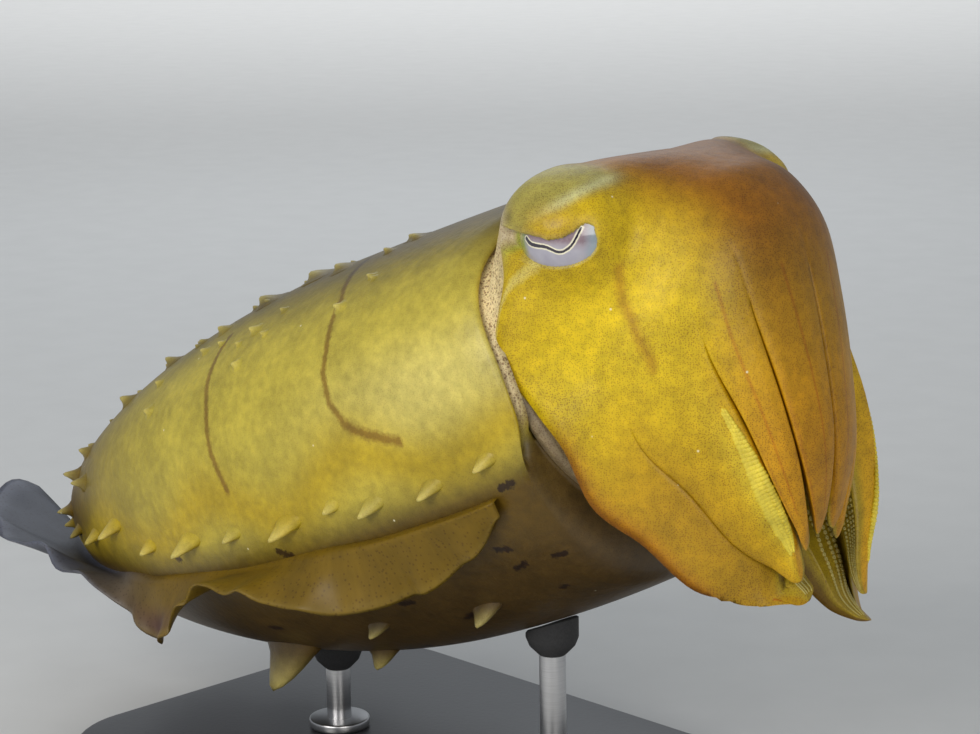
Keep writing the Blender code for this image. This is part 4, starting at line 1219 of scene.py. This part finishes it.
RIDGE_WIDEST = 0.0030
RIDGE_LANES = ((-1, 0.0010), (0, 0.0007), (1, 0.0004))
RIDGE_COLOUR = (0.80, 0.63, 0.060)
RIDGE_GROOVE = (0.72, 0.54, 0.030)


def arm_axes(number, side, t, across, rho):
    """Place on an arm, the directions outward and along it, and how broad the arm is there."""
    steps = np.array((0.0, -0.004, 0.004, 0.0, 0.0))
    turns = np.array((0.0, 0.0, 0.0, -0.03, 0.03))
    free = np.clip((t + steps - ARMS_FREE) / 0.10, 0.0, 1.0)
    local = crown_surface(number, side, t + steps, across + turns, np.full(5, rho), free)
    here, near, far, left, right = on_stand(local, t + steps)
    heart = on_stand(crown_middle(np.array((t,))), np.array((t,)))[0]
    along = (far - near) / np.linalg.norm(far - near)
    outward = np.cross(along, right - left)
    outward /= np.linalg.norm(outward)
    if outward @ (here - heart) < 0.0:
        outward = -outward
    return here, outward, along, np.linalg.norm(right - left) / 0.06


cup = turned_form("cup", SUCKER_SIDES, SUCKER_RINGS, SUCKER_HOLLOW)
cup_share = np.array([eased((vertex.co.z - 0.4) / 0.15) for vertex in cup.data.vertices])
mound = turned_form("mound", SUCKER_SIDES, RIDGE_RINGS, RIDGE_TOP)
mound_share = np.array([eased((vertex.co.z - 0.1) / 0.35) for vertex in mound.data.vertices])
cups = []
mounds = []
for side in ("right", "left"):
    for number, _, _, tip, _ in ARMS:
        t = SUCKER_FIRST
        while t < tip - 0.02:
            _, _, _, breadth = arm_axes(number, side, t, 0.0, 0.0)
            band = min(1.0, SUCKER_BAND / (2.0 * breadth))
            radius = min(SUCKER_LARGEST, SUCKER_SHARE * breadth * band) * (1.0 - SUCKER_TAPER * t / tip)
            for k, row in enumerate(SUCKER_ROWS):
                shifted = t + 0.5 * radius / CROWN_LENGTH * (k % 2) * 2.0
                here, outward, along, _ = arm_axes(number, side, min(shifted, tip - 0.012), row * band, 0.0)
                inward = -outward
                twin = copy_to(cup, (along * radius, np.cross(inward, along) * radius, inward * radius), here)
                tint_copy(twin, SUCKER_COLOUR, SUCKER_RIM, cup_share, 0.0)
                cups.append(twin)
            t += 2.2 * radius / CROWN_LENGTH
    for k, t in enumerate(RIDGE_PLACES):
        breadth = arm_axes("3", side, t, RIDGE_ACROSS, 1.0)[3]
        thick = RIDGE_WIDEST * (0.30 + 0.70 * math.sin(math.pi * ((k + 0.5) / len(RIDGE_PLACES)) ** 1.3))
        for lane, height in RIDGE_LANES:
            across = RIDGE_ACROSS + 0.60 * lane * thick / breadth
            shifted = t + 0.5 * abs(lane) * (RIDGE_PLACES[1] - RIDGE_PLACES[0])
            here, outward, along, _ = arm_axes("3", side, shifted, across, 1.0)
            wide = 0.52 * thick * random.uniform(0.85, 1.15)
            twin = copy_to(mound, (along * 0.0010, np.cross(outward, along) * wide, outward * height), here)
            tint_copy(twin, RIDGE_GROOVE, RIDGE_COLOUR, mound_share, 0.3)
            mounds.append(twin)
bpy.data.objects.remove(cup)
bpy.data.objects.remove(mound)
arm_nodes = [name for name in flesh if name.startswith("arm_")]
for group, name in ((cups, "suckers"), (mounds, "scalloped_ridges")):
    piece = join_copies(group, name)
    dress(piece, skin_look)
    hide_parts(*arm_nodes)
    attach(piece, "root")

# Fins
#
# A thin muscular fin runs along each side from the mantle's rim to its tail.
# Its firm, skin-coloured root is sunk in the skin, and it thins out to a
# waving margin, which is blue-grey toward the tail.

# Width, droop below level and rearward lean, at even steps to the tail
FIN_TABLES = {
    "right": (
        (0.008, 80.0, 0.0), (0.011, 108.0, 0.0), (0.014, 112.0, 0.1), (0.018, 108.0, 0.1),
        (0.0185, 104.0, 0.1), (0.018, 84.0, 0.1), (0.017, 52.0, 0.1), (0.016, 26.0, 0.1),
        (0.016, 8.0, 0.1), (0.016, -2.0, 0.1), (0.016, 17.0, 0.1), (0.017, 42.0, 0.1),
        (0.019, 62.0, 0.1), (0.017, 78.0, 0.1), (0.009, 40.0, 0.15), (0.014, -18.0, 0.3),
        (0.024, -30.0, 0.5), (0.034, -28.0, 0.75), (0.042, -24.0, 1.1), (0.050, -20.0, 1.5),
        (0.058, -16.0, 2.0)),
    "left": (
        (0.008, 40.0, 0.0), (0.019, 50.0, 0.1), (0.022, 35.0, 0.1), (0.022, 10.0, 0.1),
        (0.023, 20.0, 0.1), (0.025, 40.0, 0.1), (0.027, 25.0, 0.2), (0.029, 0.0, 0.3),
        (0.030, 5.0, 0.6), (0.028, 10.0, 1.2), (0.026, 0.0, 2.0)),
}
FIN_ROOT = 117.0
FIN_FIRST = 0.035
FIN_LAST = 0.972
FIN_END = 0.92
FIN_END_LOSS = 0.25
FIN_SUNK_SHARE = 0.18
FIN_KNEE = 0.0022
FIN_SUNK = 0.0035
FIN_ROOT_THICKNESS = 0.0034
FIN_EDGE_THICKNESS = 0.0007
FIN_ROWS = 170
FIN_COLUMNS = 22
FIN_WAVE = 0.0010
FIN_FLANK = (0.150, 0.088, 0.002)
FIN_MARGIN = (0.18, 0.115, 0.012)
FIN_REAR = (0.045, 0.050, 0.070)
FIN_REAR_MARGIN = (0.13, 0.14, 0.18)
FIN_FOLD = (0.085, 0.042, 0.040)


def fin_points(side):
    """Wrapping rule of a fin: rows run to the tail, columns go out on its upper face and back below."""
    def wrap(row, column):
        s = FIN_FIRST + (FIN_LAST - FIN_FIRST) * row / FIN_ROWS
        here = mantle_points(s, 0.0 * s + FIN_ROOT)
        root = 0.0 * s + FIN_ROOT
        rear = mantle_points(np.minimum(s + 0.01, 0.999), root) - mantle_points(s - 0.01, root)
        rear /= np.linalg.norm(rear, axis=1)[:, None]
        down = mantle_points(s, root + 2.0) - mantle_points(s, root - 2.0)
        outward = np.cross(rear, down)
        outward /= np.linalg.norm(outward, axis=1)[:, None]
        width, droop, lean = through(FIN_TABLES[side], s).T
        width = width * (0.45 + 0.55 * eased((s - FIN_FIRST) / 0.05))
        width = width * (1.0 - FIN_END_LOSS * np.maximum((s - FIN_END) / (FIN_LAST - FIN_END), 0.0) ** 4)
        droop = np.radians(droop)
        below = np.array((math.sin(MANTLE_PITCH), 0.0, -math.cos(MANTLE_PITCH)))
        across = np.cos(droop)[:, None] * np.array((0.0, -1.0, 0.0)) + np.sin(droop)[:, None] * below
        across += rear * lean[:, None]
        across /= np.linalg.norm(across, axis=1)[:, None]
        normal = np.cross(rear, across)
        normal /= np.linalg.norm(normal, axis=1)[:, None]
        turn = column / FIN_COLUMNS
        out = np.clip(1.0 - np.abs(turn - 1.0), 0.0, 1.0)
        face = np.sign(1.0 - turn)
        share = out * (1.0 + FIN_SUNK_SHARE) - FIN_SUNK_SHARE
        grown = np.maximum(share, 0.0)
        sunk = np.clip(-share / FIN_SUNK_SHARE, 0.0, 1.0)
        ends = np.minimum(s - FIN_FIRST, FIN_LAST - s) * MANTLE_LENGTH
        shut = np.sqrt(1.0 - np.clip(1.0 - ends / 0.003, 0.0, 1.0) ** 2)
        edge = np.sqrt(1.0 - np.clip((grown - 0.96) / 0.04, 0.0, 1.0) ** 2)
        half = 0.5 * (FIN_ROOT_THICKNESS + (FIN_EDGE_THICKNESS - FIN_ROOT_THICKNESS) * grown ** 0.5)
        half = half * (1.0 + 0.8 * sunk) * shut * edge * (out > 0.001)
        waves = np.sin(88.0 * s) + 0.45 * np.sin(151.0 * s + 1.0)
        wave = FIN_WAVE * (1.0 + 1.2 * eased((s - 0.6) / 0.2)) * waves * grown ** 2
        point = here + outward * (FIN_KNEE - (FIN_KNEE + FIN_SUNK) * sunk)[:, None]
        point += across * (width * grown)[:, None] + normal * (face * half + wave)[:, None]
        if side == "left":
            point[:, 1] *= -1.0
        return point, 0.0 * s, s, out

    return wrap


def paint_fin(mesh, point, phi, s, out):
    ground = np.tile(FIN_FLANK, (len(s), 1))
    rear = eased((s - 0.60) / 0.20)
    ground = mix(ground, FIN_REAR, rear)
    ground = mix(ground, FIN_FOLD, bell(s, 0.62, 0.05) * eased((out - 0.4) / 0.4))
    margin = eased((out - 0.80) / 0.18)
    ground = mix(ground, FIN_MARGIN, margin * (1.0 - rear) * 0.8)
    ground = mix(ground, FIN_REAR_MARGIN, margin * rear * 0.7)
    store(mesh, ground, np.full(len(s), 0.3))
    store_map(mesh, "place", np.stack((s, out), -1))


def fin_finish():
    """Muscle strands that run outward, soft patches and fine dark dots."""
    finish, tree, shader = new_finish("fin_skin_look", 0.46, Subsurface_Weight=0.05, Subsurface_Scale=0.002,
                                      Transmission_Weight=0.05, Specular_IOR_Level=0.3)
    shader.inputs["Subsurface Radius"].default_value = (0.9, 0.6, 0.5)
    place = object_place(tree)
    tint = add_node(tree, "ShaderNodeAttribute", attribute_name="tint").outputs["Color"]
    spot = add_node(tree, "ShaderNodeUVMap", uv_map="place").outputs[0]
    strands = add_node(tree, "ShaderNodeVectorMath", {0: spot, 1: (170.0, 3.0, 0.0)},
                       operation="MULTIPLY").outputs[0]
    fibre = noise(tree, strands, 1.0, 3.0)
    patches = calculate(tree, "MULTIPLY_ADD", noise(tree, place, 90.0, 5.0), 0.8, 0.42)
    shade = calculate(tree, "MULTIPLY_ADD", fibre, 0.35, patches)
    ground = add_node(tree, "ShaderNodeVectorMath", {0: tint, "Scale": shade}, operation="SCALE").outputs[0]
    dots = add_node(tree, "ShaderNodeTexVoronoi", {"Vector": place, "Scale": 700.0, "Randomness": 0.9})
    dot = calculate(tree, "MULTIPLY", stroke(tree, dots.outputs["Distance"], 0.16, 0.16), 0.6)
    tree.links.new(blend(tree, dot, ground, darker(tree, ground, (0.45, 0.35, 0.35))),
                   shader.inputs["Base Color"])
    bump(tree, shader, fibre, 0.2, 0.0003)
    return finish


fin_look = fin_finish()
for side in ("right", "left"):
    fin = wrapped_sheet("fin_" + side + "_model", 2 * FIN_COLUMNS, FIN_ROWS, fin_points(side), coat=paint_fin)
    close_up(fin)
    dress(fin, fin_look)
    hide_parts("fin_" + side)
    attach(fin, "root")

# Funnel
#
# A soft flattened tube under the head, through which the animal blows water.
# It comes out of the mantle's opening, its rim is rolled and its bore is darkened with painted shade.
FUNNEL_WIDTH = 0.021
FUNNEL_HEIGHT = 0.0080
FUNNEL_INSET = 0.00665

# Place along the mantle and share of the full width, over the rim and back in
FUNNEL_ROWS = ((0.056, 0.0), (0.054, 0.70), (0.052, 0.88), (0.030, 1.0), (0.010, 1.0), (-0.012, 0.98),
               (-0.024, 0.89), (-0.033, 0.82), (-0.0356, 0.78), (-0.0366, 0.70), (-0.0356, 0.60),
               (-0.030, 0.52), (-0.018, 0.46), (-0.012, 0.36), (-0.011, 0.0))
FUNNEL_SKIN = (0.20, 0.125, 0.050)
FUNNEL_RIM = (0.34, 0.25, 0.12)
FUNNEL_BORE_SHADE = (0.05, 0.028, 0.018)
FUNNEL_SMOOTH = 4
FUNNEL_SIDES = 40


def funnel_points(row, column):
    step = row / FUNNEL_SMOOTH / (len(FUNNEL_ROWS) - 1)
    s, share = through(FUNNEL_ROWS, step).T
    share = np.maximum(share, 0.0)
    middle = mantle_points(s, 0.0 * s + 180.0, FUNNEL_INSET + 0.5 * FUNNEL_HEIGHT)
    turn = 2.0 * math.pi * column / FUNNEL_SIDES
    y = 0.5 * FUNNEL_WIDTH * share * np.cos(turn)
    z = 0.5 * FUNNEL_HEIGHT * share * np.sin(turn)
    point = middle + np.stack((-z * math.sin(MANTLE_PITCH), y, z * math.cos(MANTLE_PITCH)), -1)
    return point, 0.0 * s, 0.0 * s - 0.95, step


def paint_funnel(mesh, point, phi, level, step):
    ground = np.tile(FUNNEL_SKIN, (len(step), 1))
    ground = mix(ground, FUNNEL_RIM, bell(step, 0.64, 0.08))
    # Inside, past the rim and down the bore, the colour goes dark: painted shade.
    store(mesh, mix(ground, FUNNEL_BORE_SHADE, eased((step - 0.70) / 0.10)), np.full(len(step), 0.8))


funnel_steps = FUNNEL_SMOOTH * (len(FUNNEL_ROWS) - 1)
funnel = wrapped_sheet("funnel_model", FUNNEL_SIDES, funnel_steps, funnel_points, coat=paint_funnel)
close_up(funnel)
dress(funnel, skin_look)
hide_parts("funnel")
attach(funnel, "root")

# Rods
#
# Two short turned steel rods stand in the base, each with a collar at its
# foot and a dark soft pad on top, cut to the belly that it carries.
ROD_RADIUS = 0.004
COLLAR_RADIUS = 0.010
COLLAR_HEIGHT = 0.003
COLLAR_ROUNDING = 0.0007
ROD_ROUNDING = 0.0003
BASE_ROOM = 0.0003
PAD_OPEN = 0.2
PAD_RADIUS = 0.008
PAD_HEIGHT = 0.010
PAD_ROOM = 0.0005
ROD_STATIONS = (("front", 0.22), ("rear", 0.60))


def steel_finish():
    finish, tree, shader = new_finish("brushed_rod", 0.30, Metallic=1.0)
    stretched = add_node(tree, "ShaderNodeMapping", {"Vector": object_place(tree),
                                                     "Scale": (90.0, 90.0, 4000.0)})
    lines = noise(tree, stretched.outputs[0], 1.0, 3.0)
    tree.links.new(blend(tree, lines, (0.42, 0.42, 0.43, 1.0), (0.66, 0.66, 0.67, 1.0)),
                   shader.inputs["Base Color"])
    bump(tree, shader, lines, 0.2, 0.0001)
    return finish


def pad_finish():
    finish, tree, shader = new_finish("soft_pad", 0.75)
    grain = noise(tree, object_place(tree), 1500.0, 3.0)
    tree.links.new(blend(tree, grain, (0.020, 0.020, 0.021, 1.0), (0.05, 0.05, 0.052, 1.0)),
                   shader.inputs["Base Color"])
    bump(tree, shader, grain, 0.3, 0.0002)
    return finish


def belly_height(x, y):
    """Height of the lowest skin above a point of the stand."""
    hit, place, _, _ = skin.ray_cast(Vector((x, y, 0.0)), Vector((0.0, 0.0, 1.0)))
    return place.z


rod_steel = steel_finish()
rubber = pad_finish()
for name, s in ROD_STATIONS:
    foot = mantle_points(np.array((s,)), np.array((180.0,)))[0]
    low = base_high.z + BASE_ROOM
    under_pad = foot[2] - PAD_HEIGHT
    parts = []
    for radius, bottom, height, round_edge in (
            (COLLAR_RADIUS, low, COLLAR_HEIGHT, COLLAR_ROUNDING),
            (ROD_RADIUS, low + 0.5 * COLLAR_HEIGHT, under_pad - low, ROD_ROUNDING)):
        clear_selection()
        bpy.ops.mesh.primitive_cylinder_add(vertices=48, radius=radius, depth=height,
                                            location=(foot[0], 0.0, bottom + 0.5 * height))
        turned_part = bpy.context.object
        place_in_mesh(turned_part)
        edit_bevel(turned_part, round_edge, 3, lambda a, b: abs(a.z - b.z) < 0.0001)
        dress(turned_part, rod_steel)
        parts.append(turned_part)
    pad = turned_form("pad", 32, ((0.0, 0.0040, 0.0), (0.0004, 0.0045, 0.0), (0.003, 0.0070, 0.0),
                                  (0.0055, PAD_RADIUS, 0.0), (PAD_OPEN, PAD_RADIUS, 0.0),
                                  (PAD_OPEN, 0.0074, 0.0), (PAD_OPEN, 0.0050, 0.0),
                                  (PAD_OPEN, 0.0025, 0.0)), (PAD_OPEN, 0.0))
    for vertex in pad.data.vertices:
        x = foot[0] + vertex.co.x
        y = vertex.co.y
        if vertex.co.z > 0.5 * PAD_OPEN:
            rounded = 0.0006 if math.hypot(vertex.co.x, y) > 0.0078 else 0.0
            vertex.co = (x, y, belly_height(x, y) - PAD_ROOM - rounded)
        else:
            vertex.co = (x, y, vertex.co.z + under_pad)
    dress(pad, rubber)
    parts.append(pad)
    rod = join_pieces(parts, "rod_" + name)
    only(rod)
    bpy.ops.object.shade_smooth_by_angle(angle=math.radians(30))
    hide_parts("stand_rod_" + name)
    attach(rod, "root")
